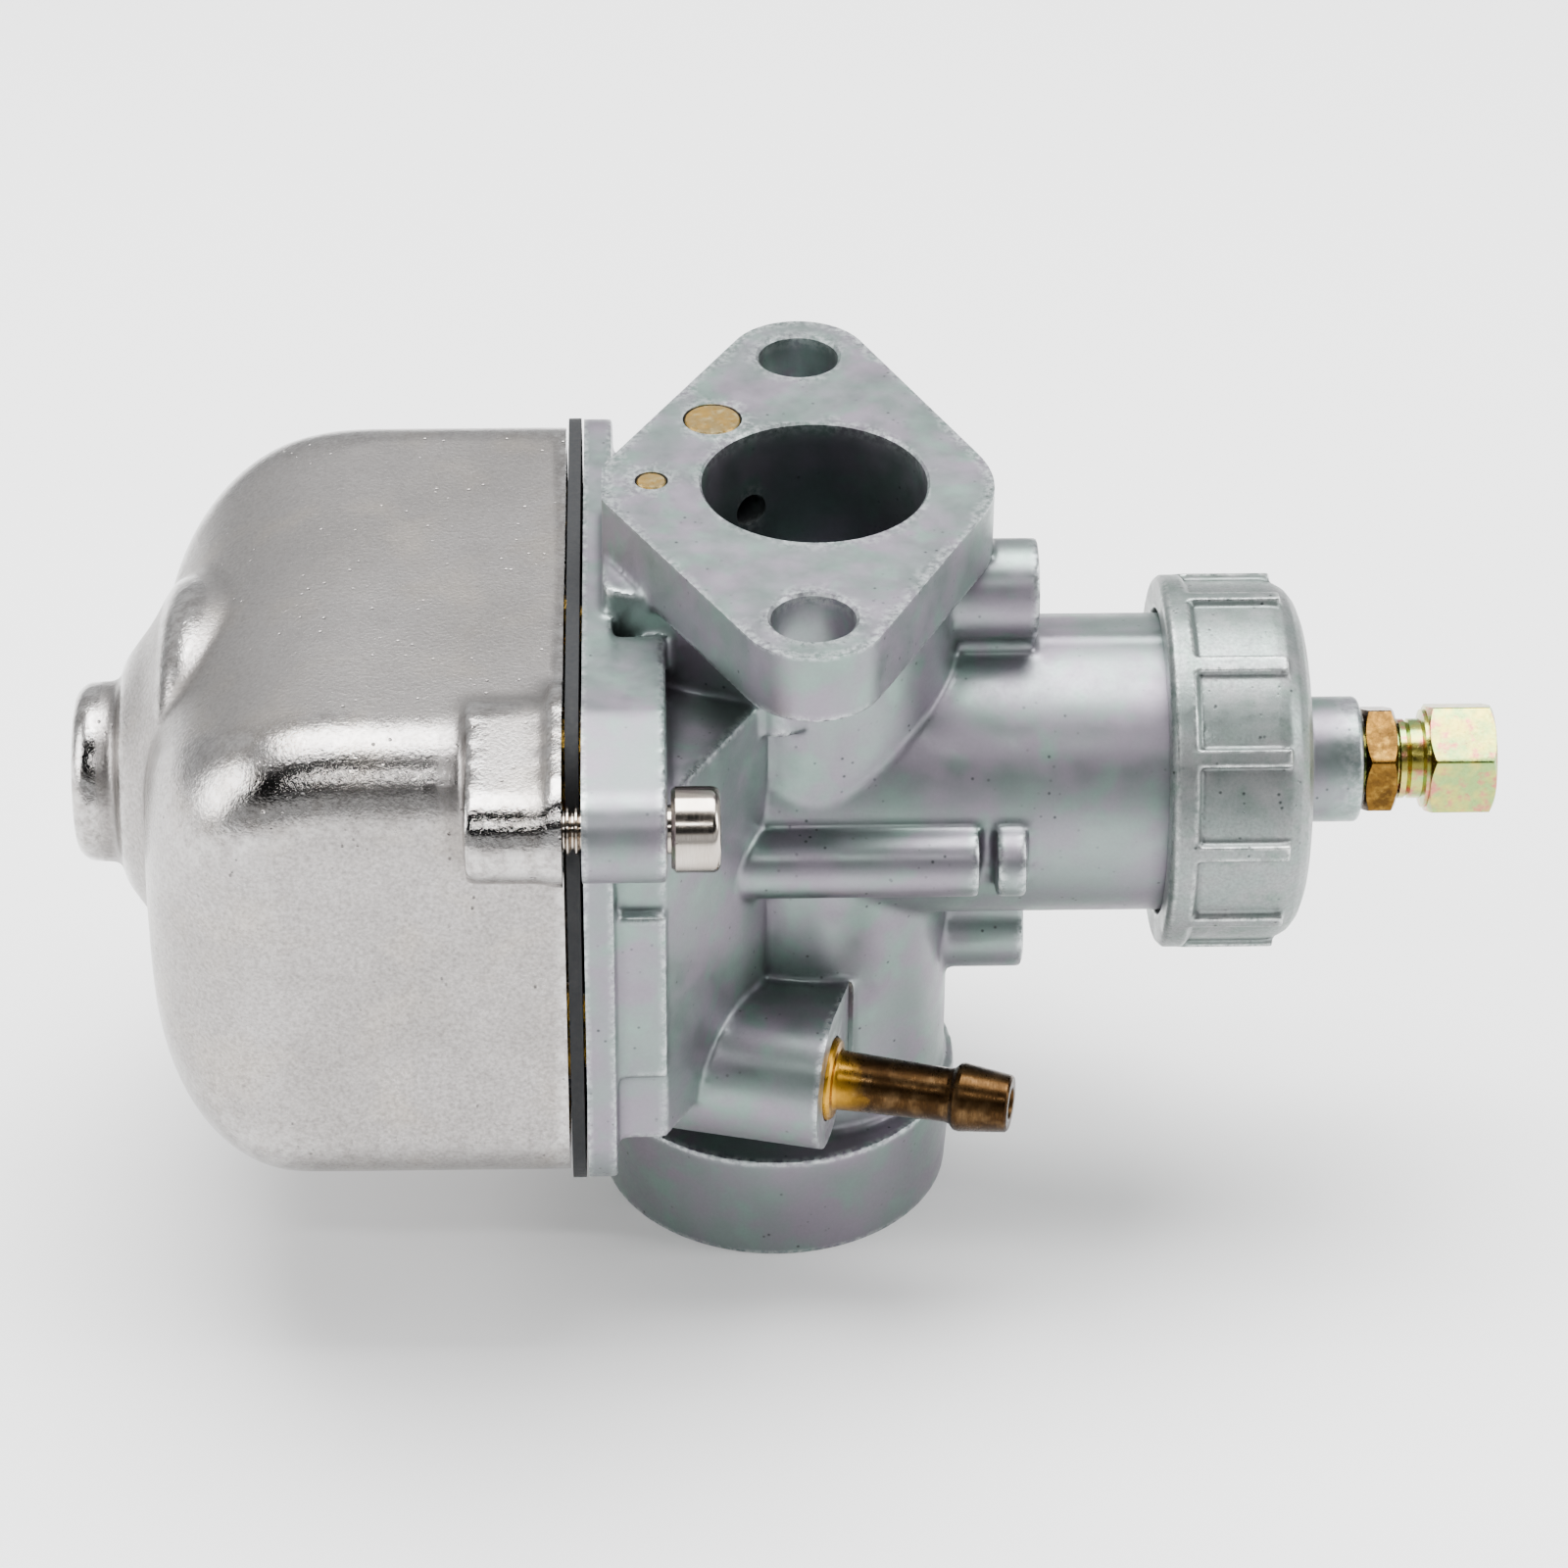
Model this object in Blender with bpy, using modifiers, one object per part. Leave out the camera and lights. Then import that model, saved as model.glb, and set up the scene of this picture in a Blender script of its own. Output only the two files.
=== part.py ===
"""Sixteen-millimetre slide carburetor for a moped: die-cast body, float bowl, throttle, starter and jets.

Frame: origin at the centre of the air-intake rim, +Z along the bore towards the engine flange,
+X along the throttle slide towards the cable adjuster. Units are metres.
"""
import math

import bmesh
import bpy
from mathutils import Matrix, Vector

MM = 0.001
GAP = 0.3 * MM              # clearance left between pieces that touch on the real object

# Main axes
SLIDE_Z = 42.5 * MM         # height of the throttle-slide axis above the intake rim
BORE_X = 3.05 * MM          # the flange bore and the bore tube are centred here
SIDES = 36                  # facets round a large turned shape

# Flange towards the engine
FLANGE_TOP = 71.5 * MM
FLANGE_BOTTOM = 65.1 * MM
BOLT_X = 2.3 * MM
BOLT_SPACING = 42 * MM
BOLT_HOLE = 7 * MM
BORE_FLANGE = 19.1 * MM
BORE_VENTURI = 16 * MM
LARGE_PLUG = (-5.4 * MM, 10.3 * MM, 0)
SMALL_PLUG = (-10.7 * MM, 0.3 * MM, 0)

# Body
BORE_TUBE_RADIUS = 12.3 * MM
SLIDE_TUBE_RADIUS = 13 * MM
SLIDE_TUBE_END = 40.8 * MM
SLIDE_BORE_RADIUS = 10.5 * MM
SLIDE_BORE_FLOOR = -5.2 * MM
JET_BORE = 4.3 * MM
COLLAR_RADIUS = 15.6 * MM
COLLAR_HEIGHT = 11 * MM
INTAKE_RADIUS = 13.2 * MM

# Lid and bowl outline across the slide axis
LID_FACE = -16.6 * MM
LID_BACK = -14.1 * MM
BOWL_HALF_WIDTH = 28.8 * MM
BOWL_TOP = SLIDE_Z + 20.3 * MM
BOWL_BOTTOM = SLIDE_Z - 25.4 * MM
BOWL_CORNER = 7 * MM
BOWL_RIM = -18.2 * MM
BOWL_END = -53.7 * MM
BOWL_ROUND = 12 * MM        # inset of the rounded closed end
BOWL_ROUND_SIDES = 12.5 * MM    # its reach up the sides and the bottom
BOWL_ROUND_TOP = 18 * MM    # its longer reach along the top
BOWL_INSET_TOP = 14 * MM    # its deeper inset along the top
LID_MARGIN = 0.7 * MM       # the lid stands this much proud of the bowl
BOWL_WALL = 1.7 * MM
NOSE_END = -60.8 * MM

# Bowl screws, at two opposite corners
SCREW_Y = -31.6 * MM
SCREW_Z = SLIDE_Z + 15.6 * MM
LUG_RADIUS = 4.3 * MM
LID_LUG_TOP = -9.7 * MM     # seat of the screw heads
BOWL_MIDDLE_Z = (BOWL_TOP + BOWL_BOTTOM) / 2

# Fuel inlet
FUEL_FACE = Vector((4.4 * MM, -19 * MM, SLIDE_Z - 20 * MM))
FUEL_ANGLE = math.radians(-14)
FUEL_BOSS_RADIUS = 6.2 * MM
SEAT_Y = -15 * MM
SEAT_Z = SLIDE_Z - 17.5 * MM

# Cap ring
GRIP_RIBS = 12

# Float and its hinge
PIN_X = -20.9 * MM
PIN_Y = -22.6 * MM
FLOAT_EDGE = 2.5 * MM       # rounding of the two floats

# Starter, on the far side
STARTER_Y = 19.5 * MM
STARTER_Z = SLIDE_Z - 10 * MM
STARTER_BORE = 4.6 * MM

# Throttle slide
SLIDE_RADIUS = SLIDE_BORE_RADIUS - GAP
SLIDE_FLOOR_TOP = 0.4 * MM
SLIDE_TOP = 22 * MM

# Small features on the body's sides
RIB_Y = -13.4 * MM          # guide rib beside the slide tube
RIB_Z = SLIDE_Z - 0.9 * MM
RIB_RADIUS = 3.1 * MM
UPPER_STUB_Z = SLIDE_Z + 18.1 * MM
LOWER_STUB_Z = SLIDE_Z - 17.3 * MM
IDLE_Y = 9 * MM
IDLE_Z = SLIDE_Z + 9 * MM

# Screws on the far side of the body
STOP_X = 13 * MM
STOP_Z = SLIDE_Z + 1 * MM
MIX_X = 6 * MM
MIX_Z = SLIDE_Z - 22 * MM


def clear_scene():
    for obj in list(bpy.data.objects):
        bpy.data.objects.remove(obj, do_unlink=True)


def new_collection(name):
    group = bpy.data.collections.new(name)
    bpy.context.scene.collection.children.link(group)
    return group


def material(name, colour, roughness, metallic):
    mat = bpy.data.materials.new(name)
    mat.use_nodes = True
    shader = mat.node_tree.nodes["Principled BSDF"]
    shader.inputs["Base Color"].default_value = (*colour, 1)
    shader.inputs["Roughness"].default_value = roughness
    shader.inputs["Metallic"].default_value = metallic
    mat.diffuse_color = (*colour, 1)
    return mat


def along_x(origin):
    """Places a shape modelled along +Z so that it runs along +X from origin."""
    return Matrix.Translation(origin) @ Matrix.Rotation(math.radians(90), 4, "Y")


def along_y(origin):
    """Places a shape modelled along +Z so that it runs along +Y from origin."""
    return Matrix.Translation(origin) @ Matrix.Rotation(math.radians(-90), 4, "X")


def along_z(origin):
    return Matrix.Translation(origin)


def finish_mesh(obj):
    """Welds loose caps and turns every face outward."""
    bm = bmesh.new()
    bm.from_mesh(obj.data)
    bmesh.ops.remove_doubles(bm, verts=bm.verts, dist=1e-6)
    bmesh.ops.recalc_face_normals(bm, faces=bm.faces)
    bm.to_mesh(obj.data)
    bm.free()


def add_object(name, mesh, mat=None, group=None):
    obj = bpy.data.objects.new(name, mesh)
    (group or PARTS).objects.link(obj)
    if mat:
        mesh.materials.append(mat)
    return obj


def baked(obj):
    """Replaces an object by its evaluated mesh, so that it can be cut or joined."""
    bpy.context.view_layer.update()
    graph = bpy.context.evaluated_depsgraph_get()
    mesh = bpy.data.meshes.new_from_object(obj.evaluated_get(graph))
    copy = bpy.data.objects.new(obj.name + "_mesh", mesh)
    copy.matrix_world = obj.matrix_world
    obj.users_collection[0].objects.link(copy)
    name = obj.name
    bpy.data.objects.remove(obj, do_unlink=True)
    copy.name = name
    finish_mesh(copy)
    return copy


def move_to(obj, place):
    """Puts the object's origin at place and leaves its points in the shape's own axes."""
    obj.matrix_world = place
    return obj


def smooth(obj, angle=35):
    obj.data.shade_smooth()
    obj.data.set_sharp_from_angle(angle=math.radians(angle))
    return obj


def rod(name, radius, start, end, place, mat=None, group=None, sides=SIDES, end_radius=None):
    """A straight round bar from start to end along its own axis."""
    bm = bmesh.new()
    far = radius if end_radius is None else end_radius
    bmesh.ops.create_cone(
        bm, cap_ends=True, segments=sides, radius1=radius, radius2=far, depth=end - start
    )
    bmesh.ops.translate(bm, verts=bm.verts, vec=(0, 0, (start + end) / 2))
    mesh = bpy.data.meshes.new(name)
    bm.to_mesh(mesh)
    bm.free()
    return move_to(add_object(name, mesh, mat, group), place)


def block(name, low, high, mat=None, group=None, bevel=0):
    """A box between two opposite corners, with rounded edges where bevel is given."""
    low, high = Vector(low), Vector(high)
    bm = bmesh.new()
    bmesh.ops.create_cube(bm, size=1)
    bmesh.ops.scale(bm, verts=bm.verts, vec=high - low)
    bmesh.ops.translate(bm, verts=bm.verts, vec=(low + high) / 2)
    if bevel:
        bmesh.ops.bevel(
            bm, geom=bm.edges[:], offset=bevel, segments=3, profile=0.5, affect="EDGES"
        )
    mesh = bpy.data.meshes.new(name)
    bm.to_mesh(mesh)
    bm.free()
    return add_object(name, mesh, mat, group)


def turned(name, profile, place, mat=None, group=None, sides=SIDES, closed=False):
    """Turns a profile of (station, radius) points about its own axis.

    An open profile starts and ends on the axis; a closed one makes a ring or a tube.
    """
    mesh = bpy.data.meshes.new(name)
    points = [(radius, 0, station) for station, radius in profile]
    edges = [(i, i + 1) for i in range(len(points) - 1)]
    if closed:
        edges.append((len(points) - 1, 0))
    mesh.from_pydata(points, edges, [])
    obj = add_object(name, mesh, None, group)
    screw = obj.modifiers.new("Turn", "SCREW")
    screw.steps = sides
    screw.render_steps = sides
    screw.use_merge_vertices = True
    screw.merge_threshold = 1e-6
    obj = baked(obj)
    if mat:
        obj.data.materials.append(mat)
    return move_to(obj, place)


def prism(name, outline, start, end, place, mat=None, group=None):
    """Extrudes a flat outline of (x, y) points from start to end along its own +Z."""
    curve = bpy.data.curves.new(name, "CURVE")
    curve.dimensions = "2D"
    curve.fill_mode = "BOTH"
    curve.extrude = (end - start) / 2
    line = curve.splines.new("POLY")
    line.points.add(len(outline) - 1)
    for point, (x, y) in zip(line.points, outline):
        point.co = (x, y, 0, 1)
    line.use_cyclic_u = True
    obj = add_object(name, curve, None, group)
    obj.matrix_world = place @ Matrix.Translation((0, 0, (start + end) / 2))
    obj = baked(obj)
    if mat:
        obj.data.materials.append(mat)
    return obj


def arc(centre, radius, start, end, steps):
    """Points on an arc, with angles in degrees."""
    angles = [math.radians(start + (end - start) * i / steps) for i in range(steps + 1)]
    return [(centre[0] + radius * math.cos(a), centre[1] + radius * math.sin(a)) for a in angles]


def rounded_outline(corners, steps=4):
    """Closed outline round a convex list of (x, y, corner radius), anticlockwise."""
    points = []
    count = len(corners)
    for i, (x, y, radius) in enumerate(corners):
        here = Vector((x, y))
        before = (Vector(corners[i - 1][:2]) - here).normalized()
        after = (Vector(corners[(i + 1) % count][:2]) - here).normalized()
        half = before.angle(after) / 2
        centre = here + (before + after).normalized() * radius / math.sin(half)
        first = here + before * radius / math.tan(half) - centre
        last = here + after * radius / math.tan(half) - centre
        sweep = first.angle_signed(last)
        for k in range(steps + 1):
            turn = Matrix.Rotation(-sweep * k / steps, 2)
            points.append(tuple(centre + turn @ first))
    return points


def hull_outline(circles, steps=32):
    """Outline of the convex hull of circles given as (x, y, radius)."""
    bm = bmesh.new()
    for x, y, radius in circles:
        for px, py in arc((x, y), radius, 0, 360 - 360 / steps, steps - 1):
            bm.verts.new((px, py, 0))
    points = sorted((v.co.x, v.co.y) for v in bm.verts)
    bm.free()

    def half(side):
        chain = []
        for p in side:
            while len(chain) > 1 and turn_of(chain[-2], chain[-1], p) <= 1e-12:
                chain.pop()
            chain.append(p)
        return chain[:-1]

    return half(points) + half(points[::-1])


def turn_of(a, b, c):
    return (b[0] - a[0]) * (c[1] - a[1]) - (b[1] - a[1]) * (c[0] - a[0])


def coil(name, radius, wire, start, end, turns, place, mat, steps=12):
    """A compression spring along its own axis, from start to end."""
    curve = bpy.data.curves.new(name, "CURVE")
    curve.dimensions = "3D"
    curve.bevel_depth = wire
    curve.bevel_resolution = 1
    curve.use_fill_caps = True
    count = int(turns * steps)
    line = curve.splines.new("POLY")
    line.points.add(count)
    for i, point in enumerate(line.points):
        angle = 2 * math.pi * i / steps
        height = start + wire + (end - start - 2 * wire) * i / count
        point.co = (radius * math.cos(angle), radius * math.sin(angle), height, 1)
    obj = add_object(name, curve, None)
    obj.matrix_world = place
    obj = baked(obj)
    obj.data.materials.append(mat)
    return obj


def hexagon(across_flats):
    """A regular hexagon with a corner on its own X axis."""
    return arc((0, 0), across_flats / math.sqrt(3), 0, 300, 5)


def guide(obj):
    """Marks a shape that only cuts or joins another piece."""
    obj.hide_render = True
    obj.display_type = "WIRE"
    return obj


def guide_rod(name, radius, start, end, place, sides=20):
    return rod(name, radius, start, end, place, group=GUIDES, sides=sides)


def guide_block(name, low, high, bevel=0):
    return block(name, low, high, group=GUIDES, bevel=bevel)


def guide_prism(name, outline, start, end, place):
    return prism(name, outline, start, end, place, group=GUIDES)


def guide_turned(name, profile, place, sides=SIDES):
    return turned(name, profile, place, group=GUIDES, sides=sides)


def combine(base, operation, shapes):
    """Joins shapes to base, or cuts them from it, and keeps them as guides."""
    group = bpy.data.collections.new(f"{base.name}_{operation.lower()}")
    GUIDES.children.link(group)
    for shape in shapes:
        for owner in shape.users_collection:
            owner.objects.unlink(shape)
        group.objects.link(guide(shape))
    boolean = base.modifiers.new(operation.title(), "BOOLEAN")
    boolean.operation = operation
    boolean.operand_type = "COLLECTION"
    boolean.collection = group
    return base


def cut(base, *shapes):
    return combine(base, "DIFFERENCE", shapes)


def join(base, *shapes):
    return combine(base, "UNION", shapes)


# Body casting

def lid_outline(margin=0.0):
    """Outline of the bowl and the lid in the plane across the slide, as (z, y) from its own axes."""
    wide = BOWL_HALF_WIDTH + margin
    corner = BOWL_CORNER + margin
    low, high = BOWL_BOTTOM - margin, BOWL_TOP + margin
    corners = [(-high, -wide), (-low, -wide), (-low, wide), (-high, wide)]
    return rounded_outline([(x, y, corner) for x, y in corners])


def flange_outline():
    """Rhombus round the two bolt holes, with a clipped corner towards the bowl."""
    reach = BOLT_SPACING / 2
    ear, corner = 6.1 * MM, 1.2 * MM
    return hull_outline([
        (BOLT_X, -reach, ear), (BOLT_X, reach, ear), (7.2 * MM, -0.6 * MM, 11 * MM),
        (-13.7 * MM, -2.4 * MM, corner), (-13.7 * MM, 2.4 * MM, corner),
    ], steps=36)


def lug_outline(y, z, side, tail=False):
    """Screw lug reaching out from a corner; on the lid it runs on as a thick edge."""
    inner = (-z, y + side * 9 * MM, 5.6 * MM)
    shapes = [(-z, y, LUG_RADIUS), inner]
    if tail:
        shapes.append((-z - side * 3.1 * MM, y + side * 20 * MM, 2 * MM))
    return hull_outline(shapes, steps=20)


def screw_places():
    """The two bowl screws face each other across the middle of the bowl."""
    far_z = 2 * BOWL_MIDDLE_Z - SCREW_Z
    return [("near", SCREW_Y, SCREW_Z, 1), ("far", -SCREW_Y, far_z, -1)]


def fuel_place(distance=0.0):
    """Frame of the fuel inlet, with +Z out of the boss along the nipple."""
    direction = Matrix.Rotation(FUEL_ANGLE, 4, "Z")
    return Matrix.Translation(FUEL_FACE) @ direction @ along_x((distance, 0, 0))


def fuel_boss():
    """D-shaped boss: a round front, flat top and back that run into the bore tube."""
    outline = hull_outline([
        (0, 0, FUEL_BOSS_RADIUS),
        (-4.5 * MM, 8 * MM, 0.6 * MM),
        (3 * MM, 9 * MM, 0.6 * MM),
    ], steps=20)
    return guide_prism("fuel_boss", outline, -19 * MM, 0, fuel_place())


def body_shapes():
    """Every solid that joins the lid plate to make the casting."""
    wedge = [(-15, -27.6), (-10, -27.6), (-1.2, -11.6), (-1.2, 11.6), (-10, 27.6), (-15, 27.6)]
    wedge = [(x * MM, y * MM) for x, y in wedge]
    neck = rounded_outline([(x * MM, y * MM, 1.5 * MM) for x, y in
                            [(-14.9, -8), (0, -14), (6, -10), (6, 10), (0, 14), (-14.9, 8)]])
    axis = (0, 0, SLIDE_Z)
    bore = along_z((BORE_X, 0, 0))
    shapes = [
        guide_prism("wedge", wedge, SLIDE_Z - 19.6 * MM, SLIDE_Z + 15.2 * MM, along_z((0, 0, 0))),
        guide_rod("bore_tube", BORE_TUBE_RADIUS, 8 * MM, FLANGE_TOP - 2 * MM, bore, sides=SIDES),
        guide_rod("slide_tube", SLIDE_TUBE_RADIUS, -15 * MM, SLIDE_TUBE_END, along_x(axis), sides=SIDES),
        guide_prism("flange", flange_outline(), FLANGE_BOTTOM, FLANGE_TOP, along_z((0, 0, 0))),
        guide_prism("neck", neck, SLIDE_Z + 12 * MM, FLANGE_BOTTOM + 1 * MM, along_z((0, 0, 0))),
        intake_collar(),
        fuel_boss(),
        *side_details(),
        *far_side_bosses(),
        *float_posts(),
    ]
    for name, y, z, side in screw_places():
        tongue = lug_outline(y, z, side, tail=True)
        place = along_x((0, 0, 0))
        shapes.append(guide_prism(f"lid_lug_{name}", tongue, LID_FACE + 0.2 * MM, LID_LUG_TOP, place))
    return shapes


def intake_collar():
    """Spigot for the air filter: a short ring with a slightly flared upper edge."""
    flare = COLLAR_RADIUS + 0.7 * MM
    profile = [
        (0, 0), (0, COLLAR_RADIUS), (COLLAR_HEIGHT - 1 * MM, flare), (COLLAR_HEIGHT, flare),
        (COLLAR_HEIGHT, 0),
    ]
    return guide_turned("collar", profile[::-1], along_z((0, 0, 0)))


def side_details():
    """Side pad, slide-guide rib in two lengths, and the two stub bosses by the slide tube."""
    rib = along_x((0, RIB_Y, RIB_Z))
    low, high = SLIDE_Z + 11 * MM, SLIDE_Z - 11 * MM
    return [
        guide_block("pad", (-13.8 * MM, -28.5 * MM, 30.2 * MM), (-9.8 * MM, -26 * MM, 47 * MM)),
        guide_rod("guide_rib", RIB_RADIUS, -9 * MM, 16.9 * MM, rib),
        guide_rod("guide_rib_end", RIB_RADIUS, 18.4 * MM, 21 * MM, rib),
        guide_rod("upper_stub", 4.3 * MM, 2 * MM, 22.2 * MM, along_x((0, 0, UPPER_STUB_Z))),
        guide_block("upper_web", (6 * MM, -2.2 * MM, low), (22 * MM, 2.2 * MM, low + 7 * MM)),
        guide_rod("lower_stub", 4 * MM, 2 * MM, 22 * MM, along_x((0, 0, LOWER_STUB_Z))),
        guide_block("lower_web", (6 * MM, -3 * MM, high - 5 * MM), (21.8 * MM, 3 * MM, high)),
    ]


def far_side_bosses():
    """Starter tower, stop-screw boss and mixture-screw boss, on the side away from the fuel inlet."""
    low, high = STARTER_Z - 4 * MM, STARTER_Z + 4 * MM
    return [
        guide_rod("starter_tower", 6.6 * MM, -15 * MM, 15 * MM, along_x((0, STARTER_Y, STARTER_Z))),
        guide_block("starter_web", (-15 * MM, 6 * MM, low), (12 * MM, STARTER_Y, high)),
        guide_rod("stop_boss", 4.2 * MM, 10.7 * MM, 18 * MM, along_y((STOP_X, 0, STOP_Z))),
        guide_rod("mixture_boss", 3.8 * MM, 10 * MM, 17 * MM, along_y((MIX_X, 0, MIX_Z))),
    ]


def float_posts():
    """Two posts under the lid that hold the float pin."""
    posts = []
    for i, z in enumerate((SLIDE_Z - 12.6 * MM, SLIDE_Z - 1.6 * MM)):
        low = (PIN_X - 2 * MM, PIN_Y - 2 * MM, z - 0.8 * MM)
        high = (LID_FACE + 1 * MM, PIN_Y + 2 * MM, z + 0.8 * MM)
        posts.append(guide_block(f"float_post_{i}", low, high))
    return posts


def bore_cutter():
    """Straight at the flange, narrowed to the venturi at the slide, and flared to the intake."""
    wide, narrow = BORE_FLANGE / 2, BORE_VENTURI / 2
    profile = [
        (FLANGE_TOP + 1 * MM, 0), (FLANGE_TOP + 1 * MM, wide), (SLIDE_Z + 13 * MM, wide),
        (SLIDE_Z + 9 * MM, narrow), (SLIDE_Z - 10 * MM, narrow), (14 * MM, 9.6 * MM),
        (8.9 * MM, 11.2 * MM), (8.9 * MM, 0),
    ]
    return guide_turned("bore", profile, along_z((BORE_X, 0, 0)))


def body_cutters():
    """Bore, slide bore, bolt holes, jet and valve drillings, and the screw threads' holes."""
    slide = along_x((0, 0, SLIDE_Z))
    starter = along_x((0, STARTER_Y, STARTER_Z))
    lid_start = LID_FACE - 1 * MM
    hole = BOLT_HOLE / 2
    reach = BOLT_SPACING / 2
    cutters = [
        bore_cutter(),
        guide_rod("intake", INTAKE_RADIUS, -1 * MM, 9 * MM, along_z((0, 0, 0)), sides=SIDES),
        guide_rod("slide_bore", SLIDE_BORE_RADIUS, SLIDE_BORE_FLOOR, 41.8 * MM, slide, sides=SIDES),
        guide_rod("jet_bore", JET_BORE, lid_start, SLIDE_BORE_FLOOR + 1 * MM, slide),
        guide_rod("bolt_hole_near", hole, 62 * MM, 73 * MM, along_z((BOLT_X, -reach, 0))),
        guide_rod("bolt_hole_far", hole, 62 * MM, 73 * MM, along_z((BOLT_X, reach, 0))),
        guide_rod("large_plug_hole", 2.7 * MM, 68.2 * MM, 73 * MM, along_z(LARGE_PLUG)),
        guide_rod("small_plug_hole", 1.55 * MM, 68.2 * MM, 73 * MM, along_z(SMALL_PLUG)),
        guide_rod("seat_hole", 3.5 * MM, lid_start, LID_LUG_TOP, along_x((0, SEAT_Y, SEAT_Z))),
        guide_rod("fuel_way", 1.3 * MM, -17 * MM, -5 * MM, fuel_place(), sides=16),
        guide_rod("nipple_socket", 3.9 * MM, -6 * MM, 1 * MM, fuel_place()),
        guide_rod("starter_bore", STARTER_BORE, -9 * MM, 16 * MM, starter),
        guide_rod("starter_way", 2.2 * MM, lid_start, -8 * MM, starter, sides=16),
        guide_rod("idle_way", 2 * MM, lid_start, -8 * MM, along_x((0, IDLE_Y, IDLE_Z)), sides=16),
        guide_rod("stop_hole", 2.4 * MM, 8 * MM, 19 * MM, along_y((STOP_X, 0, STOP_Z))),
        guide_rod("mixture_hole", 2.1 * MM, 7 * MM, 18 * MM, along_y((MIX_X, 0, MIX_Z))),
        guide_rod("pin_hole", 1.1 * MM, SLIDE_Z - 14 * MM, SLIDE_Z, along_z((PIN_X, PIN_Y, 0)), sides=16),
        port_cutter(),
    ]
    for name, y, z, side in screw_places():
        cutters.append(guide_rod(f"screw_hole_{name}", 2.3 * MM, -18 * MM, -9 * MM, along_x((0, y, z))))
    return cutters


def port_cutter():
    """Idle port drilled from the bore towards the large plug."""
    turn = Matrix.Rotation(math.radians(123), 4, "Z")
    place = Matrix.Translation((BORE_X, 0, FLANGE_BOTTOM - 1.4 * MM)) @ turn @ along_x((0, 0, 0))
    return guide_rod("idle_port", 1.5 * MM, 5 * MM, 12.5 * MM, place, sides=16)


def build_body(zinc):
    body = prism("carburetor_body", lid_outline(LID_MARGIN), LID_FACE, LID_BACK, along_x((0, 0, 0)), zinc)
    join(body, *body_shapes())
    cut(body, *body_cutters())
    return body


# Bowl

def inset_at(distance, reach, depth):
    """How far a quarter-ellipse edge has drawn in at a distance from the closed end."""
    if distance >= reach:
        return 0.0
    return depth * (1 - math.sqrt(1 - (1 - distance / reach) ** 2))


def bowl_loft(name, wall, rim):
    """Loft of rounded rectangles that close in on the flat end, more gently along the top."""
    bm = bmesh.new()
    rings = []
    for distance in (0, 0.5, 1.6, 3.4, 6, 9.5, 13, 18, None):
        station = rim if distance is None else BOWL_END + wall + distance * MM
        reach = station - BOWL_END - wall
        side = wall + inset_at(reach, BOWL_ROUND_SIDES - wall, BOWL_ROUND - wall)
        top = wall + inset_at(reach, BOWL_ROUND_TOP - wall, BOWL_INSET_TOP - wall)
        wide = BOWL_HALF_WIDTH - side
        low, high = BOWL_BOTTOM + side, BOWL_TOP - top
        corner = BOWL_CORNER - wall + 0.18 * (top - wall)
        corners = [(-wide, low), (wide, low), (wide, high), (-wide, high)]
        outline = rounded_outline([(y, z, corner) for y, z in corners])
        rings.append([bm.verts.new((station, y, z)) for y, z in outline])
    count = len(rings[0])
    for first, second in zip(rings, rings[1:]):
        for i in range(count):
            k = (i + 1) % count
            bm.faces.new((first[i], first[k], second[k], second[i]))
    bm.faces.new(rings[0])
    bm.faces.new(rings[-1][::-1])
    bmesh.ops.recalc_face_normals(bm, faces=bm.faces)
    mesh = bpy.data.meshes.new(name)
    bm.to_mesh(mesh)
    bm.free()
    return add_object(name, mesh)


def nose_profile():
    """Outer shape of the nose, its cone and the round boss that carries it."""
    points = [
        (0, 0), (0, 6.9), (1, 7.86), (3.8, 7.86), (4.4, 9.9), (6.7, 12.95), (7.5, 14.3),
        (8.4, 16), (9.2, 16.8), (10.6, 17.3), (22, 17.3), (22, 0),
    ]
    return [(NOSE_END + x * MM, r * MM) for x, r in points]


def build_bowl(aluminium):
    bowl = bowl_loft("float_bowl", 0, BOWL_RIM)
    bowl.data.materials.append(aluminium)
    axis = (0, 0, SLIDE_Z)
    shapes = [guide_turned("nose", nose_profile(), along_x(axis))]
    hollow = bowl_loft("bowl_hollow", BOWL_WALL, BOWL_RIM + 1 * MM)
    nose_hollow = [
        (NOSE_END + 2.2 * MM, 0), (NOSE_END + 2.2 * MM, 5.4 * MM), (-55.5 * MM, 6 * MM),
        (-51.6 * MM, 11 * MM), (-49 * MM, 11 * MM), (-49 * MM, 0),
    ]
    flat = along_x((0, 0, 0))
    cutters = [hollow, guide_turned("nose_hollow", nose_hollow, along_x(axis), sides=20)]
    for name, y, z, side in screw_places():
        outline = lug_outline(y, z, side)
        thread = along_x((0, y, z))
        shapes.append(guide_prism(f"bowl_lug_{name}", outline, -26 * MM, BOWL_RIM - 0.3 * MM, flat))
        cutters.append(guide_rod(f"bowl_thread_{name}", 2.3 * MM, -24.5 * MM, -17 * MM, thread))
    join(bowl, *shapes)
    cut(bowl, *cutters)
    return bowl


def build_gasket(rubber):
    flat = along_x((0, 0, 0))
    outline = lid_outline(LID_MARGIN + 0.1 * MM)
    gasket = prism("bowl_gasket", outline, BOWL_RIM + GAP, LID_FACE - GAP, flat, rubber)
    opening = guide_prism("gasket_opening", lid_outline(-2.6 * MM), -20 * MM, -15 * MM, flat)
    return cut(gasket, opening)


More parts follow.
